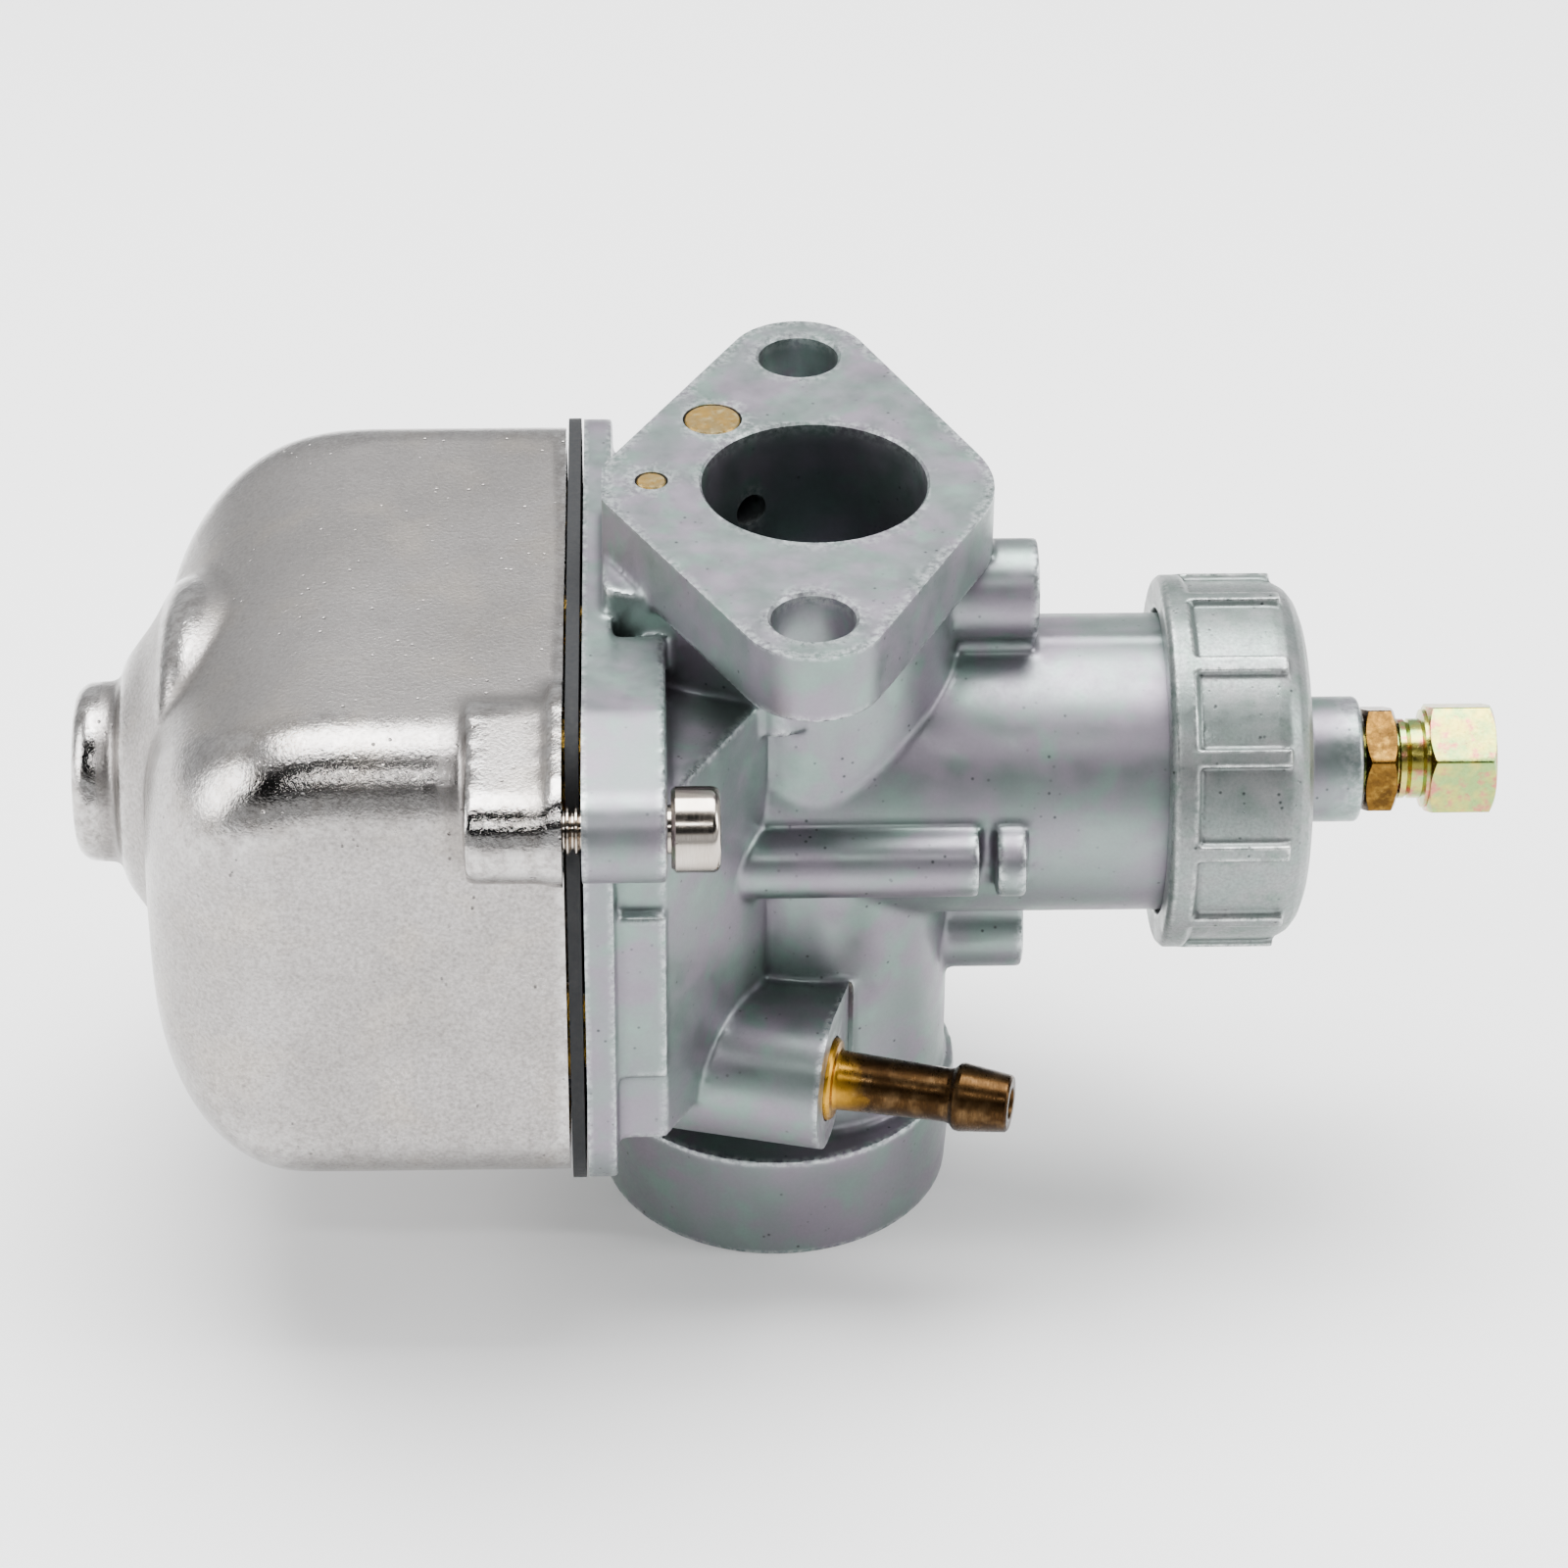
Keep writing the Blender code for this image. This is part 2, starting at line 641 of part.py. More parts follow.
def build_bowl_screws(nickel):
    """M4 cap screws with a hex socket, heads on the lid side."""
    for name, y, z, side in screw_places():
        head = LID_LUG_TOP + GAP
        place = along_x((0, y, z))
        profile = [
            (-24 * MM, 0), (-24 * MM, 1.6 * MM), (-23.6 * MM, 2 * MM), (head, 2 * MM),
            (head, 3.5 * MM), (head + 3.5 * MM, 3.5 * MM), (head + 4 * MM, 3 * MM), (head + 4 * MM, 0),
        ]
        screw = turned(f"bowl_screw_{name}", profile, place, nickel, sides=24)
        socket = guide_prism(f"socket_{name}", hexagon(3 * MM), head + 2 * MM, head + 5 * MM, place)
        cut(screw, socket)


# Cap and cable adjuster

def build_cap_ring(zinc):
    """Union ring with grip ribs and a round shoulder."""
    profile = [
        (33.3, 13.4), (33.1, 15.7), (33.7, 16.3), (35.5, 16.3), (35.7, 15.8), (42.8, 15.8),
        (44, 15.2), (45, 13.9), (45.5, 12.4), (45.7, 10.6), (45.7, 8.2), (43.6, 8.2), (43.6, 13.4),
    ]
    profile = [(x * MM, r * MM) for x, r in profile]
    ring = turned("cap_ring", profile, along_x((0, 0, SLIDE_Z)), zinc, closed=True)
    ribs = []
    for i in range(GRIP_RIBS):
        turn = Matrix.Rotation(math.radians(360 / GRIP_RIBS * i - 5), 4, "X")
        low, high = (35.2 * MM, -0.65 * MM, 14.5 * MM), (43.1 * MM, 0.65 * MM, 16.3 * MM)
        rib = guide_block(f"grip_rib_{i}", low, high)
        rib.matrix_world = Matrix.Translation((0, 0, SLIDE_Z)) @ turn
        ribs.append(rib)
    return join(ring, *ribs)


def build_cap_cover(zinc):
    """Disc that closes the slide tube, with the threaded neck for the adjuster."""
    profile = [
        (41.1, 3.3), (41.1, 13), (43.3, 13), (43.3, 7.9), (46.1, 7.9), (46.1, 5.5),
        (50.3, 5.5), (50.9, 4.9), (50.9, 3.3),
    ]
    profile = [(x * MM, r * MM) for x, r in profile]
    return turned("cap_cover", profile, along_x((0, 0, SLIDE_Z)), zinc, sides=28, closed=True)


def hex_piece(name, across, start, end, bore, mat):
    """Hexagon bar along the slide axis with chamfered corners, bored through if bore isn't 0."""
    place = along_x((0, 0, SLIDE_Z))
    chamfer = 0.6 * MM
    large = across / math.sqrt(3) + 0.25 * MM
    small = large - 1.7 * chamfer
    profile = [
        (start, bore), (start, small), (start + chamfer, large), (end - chamfer, large),
        (end, small), (end, bore),
    ]
    piece = turned(name, profile, place, mat, sides=30, closed=bore > 0)
    flats = guide_prism(f"{name}_flats", hexagon(across), start - MM, end + MM, place)
    return combine(piece, "INTERSECT", [flats])


def build_adjuster(yellow_zinc, brown_zinc):
    """Cable adjuster with a socket for the cable's outer, and its lock nut."""
    axis = (0, 0, SLIDE_Z)
    hex_piece("lock_nut", 8.8 * MM, 51.2 * MM, 54 * MM, 3.2 * MM, brown_zinc)
    adjuster = hex_piece("cable_adjuster", 9.2 * MM, 56.8 * MM, 62.6 * MM, 0, yellow_zinc)
    profile = [
        (44.5, 0), (44.5, 2.5), (44.9, 2.9), (54.3, 2.9), (54.4, 3.5), (56.3, 3.5), (56.5, 4.3),
        (58, 4.3), (58, 0),
    ]
    profile = [(x * MM, r * MM) for x, r in profile]
    stem = guide_turned("adjuster_stem", profile, along_x(axis), sides=20)
    join(adjuster, stem)
    cut(
        adjuster,
        guide_rod("cable_way", 1.2 * MM, 43 * MM, 65 * MM, along_x(axis), sides=16),
        guide_rod("outer_socket", 2.8 * MM, 56 * MM, 65 * MM, along_x(axis)),
    )


# Throttle

def build_slide(chrome):
    """Cup-shaped throttle slide, cut away on the intake side, with a cable slot."""
    bottom = SLIDE_BORE_FLOOR + GAP
    profile = [
        (bottom, 1.6 * MM), (bottom, SLIDE_RADIUS), (SLIDE_TOP, SLIDE_RADIUS), (SLIDE_TOP, 9 * MM),
        (SLIDE_FLOOR_TOP, 9 * MM), (SLIDE_FLOOR_TOP, 1.6 * MM),
    ]
    slide = turned("throttle_slide", profile, along_x((0, 0, SLIDE_Z)), chrome, closed=True)
    cutaway = guide_block("cutaway", (-3 * MM, -12 * MM, -9 * MM), (3.4 * MM, 12 * MM, 4 * MM))
    tilt = Matrix.Rotation(math.radians(-12), 4, "Y")
    cutaway.matrix_world = Matrix.Translation((bottom - 1.2 * MM, 0, SLIDE_Z - 6 * MM)) @ tilt
    cable_slot = guide_block(
        "cable_slot", (-6 * MM, 4 * MM, SLIDE_Z - 1 * MM), (24 * MM, 12 * MM, SLIDE_Z + 1 * MM)
    )
    return cut(slide, cutaway, cable_slot)


def build_throttle_parts(steel):
    axis = (0, 0, SLIDE_Z)
    needle = [
        (-30, 0), (-30, 0.45), (-8, 1.1), (2.2, 1.1), (2.2, 0.8), (2.8, 0.8), (2.8, 1.1), (4.6, 1.1),
        (4.6, 0),
    ]
    turned("jet_needle", [(x * MM, r * MM) for x, r in needle], along_x(axis), steel, sides=12)
    clip = [(0.7, 1.4), (0.7, 3.2), (1.3, 3.2), (1.3, 1.4)]
    turned("needle_clip", [(x * MM, r * MM) for x, r in clip], along_x(axis), steel, sides=16, closed=True)
    plate = [(1.6, 1.6), (1.6, 8.4), (2.4, 8.4), (2.4, 1.6)]
    turned("spring_plate", [(x * MM, r * MM) for x, r in plate], along_x(axis), steel, sides=20, closed=True)
    coil("throttle_spring", 7.6 * MM, 0.55 * MM, 2.7 * MM, 40.8 * MM, 7, along_x(axis), steel, steps=9)


# Starter

def build_starter(zinc, brass, steel):
    place = along_x((0, STARTER_Y, STARTER_Z))
    plunger = [(-8.6, 0), (-8.6, 3.2), (-7.6, 4.2), (2, 4.2), (2, 1.4), (4.6, 1.4), (4.6, 0)]
    turned("starter_plunger", [(x * MM, r * MM) for x, r in plunger], place, brass, sides=20)
    coil("starter_spring", 3 * MM, 0.4 * MM, 2.3 * MM, 14.4 * MM, 4, place, steel, steps=8)
    cap = [
        (15.3, 1.3), (15.3, 6.4), (18.6, 6.4), (19.2, 5.8), (19.2, 3.4), (24, 3.4), (24.4, 3), (24.4, 1.3),
    ]
    turned("starter_cap", [(x * MM, r * MM) for x, r in cap], place, zinc, sides=20, closed=True)


# Screws on the far side

def build_far_screws(brass, steel):
    """Throttle-stop screw and idle-mixture screw, each slotted and held by a small spring."""
    for name, x, z, tip, seat, shank in (
        ("throttle_stop_screw", STOP_X, STOP_Z, 10.9, 18, 2.0),
        ("mixture_screw", MIX_X, MIX_Z, 9.9, 17, 1.7),
    ):
        place = along_y((x, 0, z))
        head = seat + 3.6
        profile = [
            (tip, 0), (tip, 0.6), (tip + 2, shank), (head, shank), (head, 3.4), (head + 2.4, 3.4),
            (head + 2.8, 3), (head + 2.8, 0),
        ]
        screw = turned(name, [(a * MM, r * MM) for a, r in profile], place, brass, sides=24)
        slot_low = (x - 4 * MM, (head + 1.6) * MM, z - 0.5 * MM)
        slot_high = (x + 4 * MM, (head + 4) * MM, z + 0.5 * MM)
        cut(screw, guide_block(f"{name}_slot", slot_low, slot_high))
        low, high = (seat + 0.25) * MM, (head - 0.25) * MM
        coil(f"{name}_spring", 2.75 * MM, 0.3 * MM, low, high, 2.5, place, steel, steps=8)


# Float, its valve and the jets

def build_float(plastic, steel):
    """Two floats on one bridge, hinged beside the fuel valve."""
    low_y, high_y = -18 * MM, 23 * MM
    far_x, near_x = -40 * MM, -23.2 * MM
    hinge = along_z((PIN_X, PIN_Y, 0))
    hinge_low, hinge_high = SLIDE_Z - 11.4 * MM, SLIDE_Z - 2.8 * MM
    bridge_low = (-27 * MM, -18.6 * MM, SLIDE_Z - 20 * MM)
    bridge = block("float", bridge_low, (-23.6 * MM, -13 * MM, SLIDE_Z + 15 * MM), plastic)
    upper = guide_block(
        "upper_float", (far_x, low_y, SLIDE_Z + 6.4 * MM), (near_x, high_y, SLIDE_Z + 16 * MM), FLOAT_EDGE
    )
    lower = guide_block(
        "lower_float", (far_x, low_y, SLIDE_Z - 21 * MM), (near_x, high_y, SLIDE_Z - 6.4 * MM), FLOAT_EDGE
    )
    arm = guide_block("float_arm", (-24.4 * MM, PIN_Y, hinge_low), (-22.6 * MM, -14 * MM, hinge_high))
    tongue_low = (-24.4 * MM, -20 * MM, SLIDE_Z - 20 * MM)
    tongue = guide_block("valve_tongue", tongue_low, (-22.6 * MM, -13.4 * MM, SLIDE_Z - 10 * MM))
    barrel = guide_rod("hinge_barrel", 1.9 * MM, hinge_low, hinge_high, hinge)
    knuckle_low = (-23.4 * MM, PIN_Y - 1.4 * MM, hinge_low)
    knuckle = guide_block("hinge_knuckle", knuckle_low, (PIN_X - 1 * MM, PIN_Y + 1.4 * MM, hinge_high))
    join(bridge, upper, lower, arm, tongue, barrel, knuckle)
    cut(bridge, guide_rod("pin_way", 1.15 * MM, SLIDE_Z - 13 * MM, SLIDE_Z, hinge, sides=16))
    rod("float_pin", 0.8 * MM, SLIDE_Z - 13.6 * MM, SLIDE_Z - 0.6 * MM, hinge, steel, sides=16)


def build_valve(brass, steel):
    place = along_x((0, SEAT_Y, SEAT_Z))
    seat = [
        (-20.4, 1.9), (-20.4, 4.2), (-17.9, 4.2), (-17.9, 3.2), (-10.4, 3.2), (-10.4, 0.9),
        (-12.6, 0.9), (-13.6, 1.9),
    ]
    turned("needle_seat", [(x * MM, r * MM) for x, r in seat], place, brass, sides=18, closed=True)
    needle = [(-22.3, 0), (-22.3, 1), (-20.8, 1), (-20.8, 1.5), (-15, 1.5), (-13.2, 0.4), (-13.2, 0)]
    turned("float_needle", [(x * MM, r * MM) for x, r in needle], place, steel, sides=14)


def build_jets(brass):
    axis = (0, 0, SLIDE_Z)
    stock = [
        (-47, 1.5), (-47, 3.6), (-20, 3.6), (-20, 5), (-17.2, 5), (-17.2, 4), (-5.6, 4), (-5.6, 1.5),
    ]
    turned("jet_stock", [(x * MM, r * MM) for x, r in stock], along_x(axis), brass, sides=20, closed=True)
    main = [(-52.6, 0.5), (-52.6, 2.6), (-52, 3), (-47.4, 3), (-47.4, 0.5)]
    turned("main_jet", [(x * MM, r * MM) for x, r in main], along_x(axis), brass, sides=16, closed=True)
    idle = [
        (-22, 0.4), (-22, 1.5), (-19.6, 1.7), (-19.6, 2.6), (-17.4, 2.6), (-17.4, 1.6), (-9, 1.6),
        (-9, 0.4),
    ]
    idle_place = along_x((0, IDLE_Y, IDLE_Z))
    turned("idle_jet", [(x * MM, r * MM) for x, r in idle], idle_place, brass, sides=14, closed=True)
    starter = [(-21.6, 0.5), (-21.6, 2.6), (-17.4, 2.6), (-17.4, 1.8), (-10.6, 1.8), (-10.6, 0.5)]
    place = along_x((0, STARTER_Y, STARTER_Z))
    turned("starter_jet", [(x * MM, r * MM) for x, r in starter], place, brass, sides=16, closed=True)


def build_nipple(brass):
    """Barbed hose tube for 5 mm fuel hose, pressed into the boss with a collar."""
    profile = [
        (-5.7, 1.3), (-5.7, 3.6), (0.4, 3.6), (0.7, 3.3), (0.7, 2.6), (10.6, 2.35), (11.1, 2.9),
        (11.6, 3.0), (15.9, 2.5), (15.9, 1.3),
    ]
    turned("fuel_nipple", [(x * MM, r * MM) for x, r in profile], fuel_place(), brass, sides=20, closed=True)


def build_plugs(brass):
    rod("flange_plug_large", 2.4 * MM, 68.5 * MM, FLANGE_TOP, along_z(LARGE_PLUG), brass, sides=24)
    rod("flange_plug_small", 1.25 * MM, 68.5 * MM, FLANGE_TOP, along_z(SMALL_PLUG), brass, sides=20)


def build_all():
    zinc = material("zinc_die_cast", (0.42, 0.47, 0.49), 0.38, 0.9)
    aluminium = material("tumbled_aluminium", (0.66, 0.64, 0.62), 0.3, 1)
    rubber = material("gasket_rubber", (0.02, 0.02, 0.022), 0.7, 0)
    nickel = material("nickel_plated_steel", (0.68, 0.64, 0.6), 0.18, 1)
    chrome = material("chromed_zinc", (0.7, 0.7, 0.72), 0.15, 1)
    steel = material("spring_steel", (0.5, 0.5, 0.52), 0.3, 1)
    brass = material("brass", (0.6, 0.42, 0.16), 0.3, 1)
    yellow_zinc = material("yellow_zinc_plate", (0.72, 0.68, 0.42), 0.28, 1)
    brown_zinc = material("brown_zinc_plate", (0.45, 0.32, 0.14), 0.35, 1)
    plastic = material("float_plastic", (0.05, 0.05, 0.055), 0.45, 0)
    build_body(zinc)
    build_bowl(aluminium)
    build_gasket(rubber)
    build_bowl_screws(nickel)
    build_cap_ring(zinc)
    build_cap_cover(zinc)
    build_adjuster(yellow_zinc, brown_zinc)
    build_slide(chrome)
    build_throttle_parts(steel)
    build_starter(zinc, brass, steel)
    build_far_screws(brass, steel)
    build_float(plastic, steel)
    build_valve(brass, steel)
    build_jets(brass)
    build_nipple(brass)
    build_plugs(brass)
    for obj in PARTS.objects:
        smooth(obj)


clear_scene()
PARTS = new_collection("carburetor")
GUIDES = new_collection("cutters")
build_all()
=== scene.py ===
import math
import random

import bmesh
import bpy
import numpy as np
from mathutils import Matrix, Vector


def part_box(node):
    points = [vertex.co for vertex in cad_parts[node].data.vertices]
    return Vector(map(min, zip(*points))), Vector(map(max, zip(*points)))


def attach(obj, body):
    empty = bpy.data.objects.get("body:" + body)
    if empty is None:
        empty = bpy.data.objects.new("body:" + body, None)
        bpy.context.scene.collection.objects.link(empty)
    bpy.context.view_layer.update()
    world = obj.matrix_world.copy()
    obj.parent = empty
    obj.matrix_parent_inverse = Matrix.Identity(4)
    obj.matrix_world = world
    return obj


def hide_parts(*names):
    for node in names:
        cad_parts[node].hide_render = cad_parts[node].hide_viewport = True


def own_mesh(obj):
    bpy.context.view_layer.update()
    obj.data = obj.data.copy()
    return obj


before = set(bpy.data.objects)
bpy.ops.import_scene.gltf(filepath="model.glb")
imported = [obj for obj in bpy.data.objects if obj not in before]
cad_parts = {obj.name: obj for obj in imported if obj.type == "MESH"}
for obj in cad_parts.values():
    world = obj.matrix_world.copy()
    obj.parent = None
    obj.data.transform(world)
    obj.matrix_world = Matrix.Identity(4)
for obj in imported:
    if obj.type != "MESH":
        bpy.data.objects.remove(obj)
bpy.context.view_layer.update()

mm = 0.001
dice = random.Random(7)

# places that several pieces share, read from the frame (metres)
ringLow, ringHigh = (Vector(p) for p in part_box("cap_ring"))
slideZ = (ringLow.z + ringHigh.z) / 2  # height of the throttle-slide axis
screwLow, screwHigh = (Vector(p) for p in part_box("bowl_screw_near"))
screwY, screwZ = (screwLow.y + screwHigh.y) / 2, (screwLow.z + screwHigh.z) / 2
farLow, farHigh = (Vector(p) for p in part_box("bowl_screw_far"))
farY, farZ = (farLow.y + farHigh.y) / 2, (farLow.z + farHigh.z) / 2
screwPlaces = [("near", screwY, screwZ, 1), ("far", farY, farZ, -1)]
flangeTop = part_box("carburetor_body")[1][2]
boreX = 3.05 * mm
boltX = 2.3 * mm
boltReach = 21 * mm


# shaping

def alongX(origin):
    return Matrix.Translation(origin) @ Matrix.Rotation(math.radians(90), 4, "Y")


def alongY(origin):
    return Matrix.Translation(origin) @ Matrix.Rotation(math.radians(-90), 4, "X")


def alongZ(origin):
    return Matrix.Translation(origin)


def inMetres(points):
    return [(x * mm, y * mm) for x, y in points]


across = alongX((0, 0, 0))  # along +X at the origin
upright = alongZ((0, 0, 0))
slideAxis = alongX((0, 0, slideZ))


def newPiece(name, mesh):
    piece = bpy.data.objects.new(name, mesh)
    bpy.context.scene.collection.objects.link(piece)
    return piece


def meshOf(bm, name, place=None):
    if place is not None:
        bmesh.ops.transform(bm, matrix=place, verts=bm.verts)
    bmesh.ops.remove_doubles(bm, verts=bm.verts, dist=1e-7)
    bmesh.ops.recalc_face_normals(bm, faces=bm.faces)
    mesh = bpy.data.meshes.new(name)
    bm.to_mesh(mesh)
    bm.free()
    return newPiece(name, mesh)


def arc(centre, radius, start, end, steps):
    turns = [math.radians(start + (end - start) * i / steps) for i in range(steps + 1)]
    return [(centre[0] + radius * math.cos(a), centre[1] + radius * math.sin(a)) for a in turns]


def roundCorners(points, radius, steps=4, closed=True):
    # each corner of an outline becomes an arc, no larger than the sides beside it allow
    result = []
    count = len(points)
    for i, point in enumerate(points):
        here = Vector(point)
        if not closed and i in (0, count - 1):
            result.append(tuple(here))
            continue
        before = Vector(points[i - 1]) - here
        after = Vector(points[(i + 1) % count]) - here
        half = before.angle(after) / 2
        if half > math.radians(88) or before.length < 1e-7 or after.length < 1e-7:
            result.append(tuple(here))
            continue
        reach = min(radius / math.tan(half), before.length * 0.49, after.length * 0.49)
        size = reach * math.tan(half)
        centre = here + (before.normalized() + after.normalized()).normalized() * size / math.sin(half)
        first = here + before.normalized() * reach - centre
        last = here + after.normalized() * reach - centre
        sweep = first.angle_signed(last)
        result += [tuple(centre + Matrix.Rotation(-sweep * k / steps, 2) @ first) for k in range(steps + 1)]
    return result


def lathe(name, profile, place, steps=96, rounding=0.0, closed=False):
    # profile points are (station, radius); a closed one makes a ring or tube
    if rounding:
        profile = roundCorners(profile, rounding, closed=closed)
    bm = bmesh.new()
    rings = []
    for station, radius in profile:
        if radius < 1e-7:
            rings.append([bm.verts.new((0, 0, station))])
            continue
        circle = arc((0, 0), radius, 0, 360 - 360 / steps, steps - 1)
        rings.append([bm.verts.new((x, y, station)) for x, y in circle])
    pairs = list(zip(rings, rings[1:])) + ([(rings[-1], rings[0])] if closed else [])
    for first, second in pairs:
        for i in range(steps):
            k = (i + 1) % steps
            near = [first[i % len(first)], first[k % len(first)]]
            far = [second[k % len(second)], second[i % len(second)]]
            corners = list(dict.fromkeys(near + far))
            if len(corners) > 2:
                bm.faces.new(corners)
    return meshOf(bm, name, place)


def bar(name, radius, start, end, place, steps=96):
    return lathe(name, [(start, 0), (start, radius), (end, radius), (end, 0)], place, steps)


def box(name, low, high, turn=None):
    low, high = Vector(low), Vector(high)
    bm = bmesh.new()
    bmesh.ops.create_cube(bm, size=1)
    bmesh.ops.scale(bm, verts=bm.verts, vec=high - low)
    bmesh.ops.translate(bm, verts=bm.verts, vec=(low + high) / 2)
    return meshOf(bm, name, turn)


def slab(name, outline, start, end, place):
    bm = bmesh.new()
    low = [bm.verts.new((x, y, start)) for x, y in outline]
    high = [bm.verts.new((x, y, end)) for x, y in outline]
    bm.faces.new(low)
    bm.faces.new(high[::-1])
    for i in range(len(low)):
        k = (i + 1) % len(low)
        bm.faces.new((low[i], low[k], high[k], high[i]))
    return meshOf(bm, name, place)


def hullOutline(circles, steps=96):
    last = 360 - 360 / steps
    points = sorted(p for x, y, radius in circles for p in arc((x, y), radius, 0, last, steps - 1))

    def turnOf(a, b, c):
        return (b[0] - a[0]) * (c[1] - a[1]) - (b[1] - a[1]) * (c[0] - a[0])

    def half(side):
        chain = []
        for p in side:
            while len(chain) > 1 and turnOf(chain[-2], chain[-1], p) <= 1e-13:
                chain.pop()
            chain.append(p)
        return chain[:-1]

    return half(points) + half(points[::-1])


def evaluated(piece):
    bpy.context.view_layer.update()
    graph = bpy.context.evaluated_depsgraph_get()
    mesh = bpy.data.meshes.new_from_object(piece.evaluated_get(graph))
    old = piece.data
    piece.modifiers.clear()
    piece.data = mesh
    bpy.data.meshes.remove(old)
    return piece


def joined(name, pieces):
    bm = bmesh.new()
    for piece in pieces:
        bm.from_mesh(piece.data)
        mesh = piece.data
        bpy.data.objects.remove(piece)
        bpy.data.meshes.remove(mesh)
    mesh = bpy.data.meshes.new(name)
    bm.to_mesh(mesh)
    bm.free()
    return newPiece(name, mesh)


def cast(name, pieces, grid, softening):
    # melts overlapping shapes into one skin and rounds its corners, as a die or sand mould does
    piece = joined(name, pieces)
    remesh = piece.modifiers.new("skin", "REMESH")
    remesh.mode = "VOXEL"
    remesh.voxel_size = grid
    smooth = piece.modifiers.new("fillets", "SMOOTH")
    smooth.factor = 0.5
    smooth.iterations = softening
    return evaluated(piece)


def machined(piece, cutters, keep=False):
    # cuts the faces and holes that are machined after casting, so they stay crisp
    tool = joined("tool", cutters) if len(cutters) == 1 else unite(cutters)
    boolean = piece.modifiers.new("cut", "BOOLEAN")
    boolean.operation = "INTERSECT" if keep else "DIFFERENCE"
    boolean.solver = "MANIFOLD"
    boolean.object = tool
    evaluated(piece)
    bpy.data.objects.remove(tool)
    return piece


def unite(cutters):
    base = cutters[0]
    for other in cutters[1:]:
        boolean = base.modifiers.new("join", "BOOLEAN")
        boolean.operation = "UNION"
        boolean.solver = "MANIFOLD"
        boolean.object = other
        evaluated(base)
        bpy.data.objects.remove(other)
    return base


def refined(piece, longest=1.1 * mm):
    # splits the long edges that flat cuts leave, so that edge marks stay near their edges
    bm = bmesh.new()
    bm.from_mesh(piece.data)
    bmesh.ops.triangulate(bm, faces=[f for f in bm.faces if len(f.verts) > 4])
    for _ in range(5):
        edges = [e for e in bm.edges if e.calc_length() > longest]
        if not edges:
            break
        bmesh.ops.subdivide_edges(bm, edges=edges, cuts=1)
        bmesh.ops.triangulate(bm, faces=[f for f in bm.faces if len(f.verts) > 4])
    bm.to_mesh(piece.data)
    bm.free()
    return piece


def shaded(piece, angle=32):
    piece.data.shade_smooth()
    piece.data.set_sharp_from_angle(angle=math.radians(angle))
    return piece


def markEdges(piece, reach=2, gain=5):
    # stores where the skin bulges (edgeWear) and where it is hollow (crevice), for the finish to read
    mesh = piece.data
    count = len(mesh.vertices)
    points = np.empty(count * 3)
    mesh.vertices.foreach_get("co", points)
    points = points.reshape(-1, 3)
    normals = np.empty(count * 3)
    mesh.vertices.foreach_get("normal", normals)
    normals = normals.reshape(-1, 3)
    edges = np.empty(len(mesh.edges) * 2, dtype=np.int64)
    mesh.edges.foreach_get("vertices", edges)
    edges = edges.reshape(-1, 2)
    a, b = edges[:, 0], edges[:, 1]
    step = points[b] - points[a]
    length = np.linalg.norm(step, axis=1)
    near = length < 1.2 * mm
    a, b, step, length = a[near], b[near], step[near], np.maximum(length[near], 1e-9)
    bend = np.zeros(count)
    weight = np.full(count, 1e-9)
    np.add.at(bend, a, -(normals[a] * step).sum(1) / length)
    np.add.at(bend, b, (normals[b] * step).sum(1) / length)
    np.add.at(weight, a, 1)
    np.add.at(weight, b, 1)
    bend /= weight
    for _ in range(reach):
        total = bend.copy()
        number = np.ones(count)
        np.add.at(total, a, bend[b])
        np.add.at(total, b, bend[a])
        np.add.at(number, a, 1)
        np.add.at(number, b, 1)
        bend = total / number
    for name, values in (("edgeWear", bend), ("crevice", -bend)):
        layer = mesh.attributes.new(name, "FLOAT", "POINT")
        layer.data.foreach_set("value", np.clip(values * gain, 0, 1).astype(np.float32))
    return piece


def markBoreShade(piece):
    # 1 on the walls of the bore, fading in just below the flange face: the mask for the painted shade in
    # the bore
    values = []
    for v in piece.data.vertices:
        away = math.hypot(v.co.x - boreX, v.co.y)
        deep = min(max((flangeTop - v.co.z - 0.3 * mm) / (1.5 * mm), 0), 1)
        values.append(deep if away < 9.9 * mm and v.co.z > 12 * mm and v.co.z > slideZ - 14 * mm else 0.0)
    piece.data.attributes.new("inside", "FLOAT", "POINT").data.foreach_set("value", values)


# finishes

def linear(code):
    # sRGB hex to the linear values that shaders use
    parts = [int(code[i:i + 2], 16) / 255 for i in (1, 3, 5)]
    return tuple(p / 12.92 if p <= 0.04045 else ((p + 0.055) / 1.055) ** 2.4 for p in parts) + (1.0,)


def addNode(tree, kind, settings=None, links=None):
    node = tree.nodes.new("ShaderNode" + kind)
    for key, value in (settings or {}).items():
        if isinstance(key, int) or key in node.inputs:
            node.inputs[key].default_value = value
        else:
            setattr(node, key, value)
    for key, source in (links or {}).items():
        tree.links.new(source, node.inputs[key])
    return node


def newFinish(name, values):
    material = bpy.data.materials.new(name)
    material.use_nodes = True
    tree = material.node_tree
    shader = tree.nodes["Principled BSDF"]
    for key, value in values.items():
        shader.inputs[key].default_value = value
    return material, tree, shader


def noiseAt(tree, coords, size, detail=3.0, rough=0.55, stretch=None):
    # size is the width in mm of the pattern's lumps
    source = coords
    if stretch:
        source = addNode(tree, "Mapping", {"Scale": stretch}, {"Vector": coords}).outputs[0]
    settings = {"Scale": 1 / (size * mm), "Detail": detail, "Roughness": rough}
    return addNode(tree, "TexNoise", settings, {"Vector": source}).outputs["Fac"]


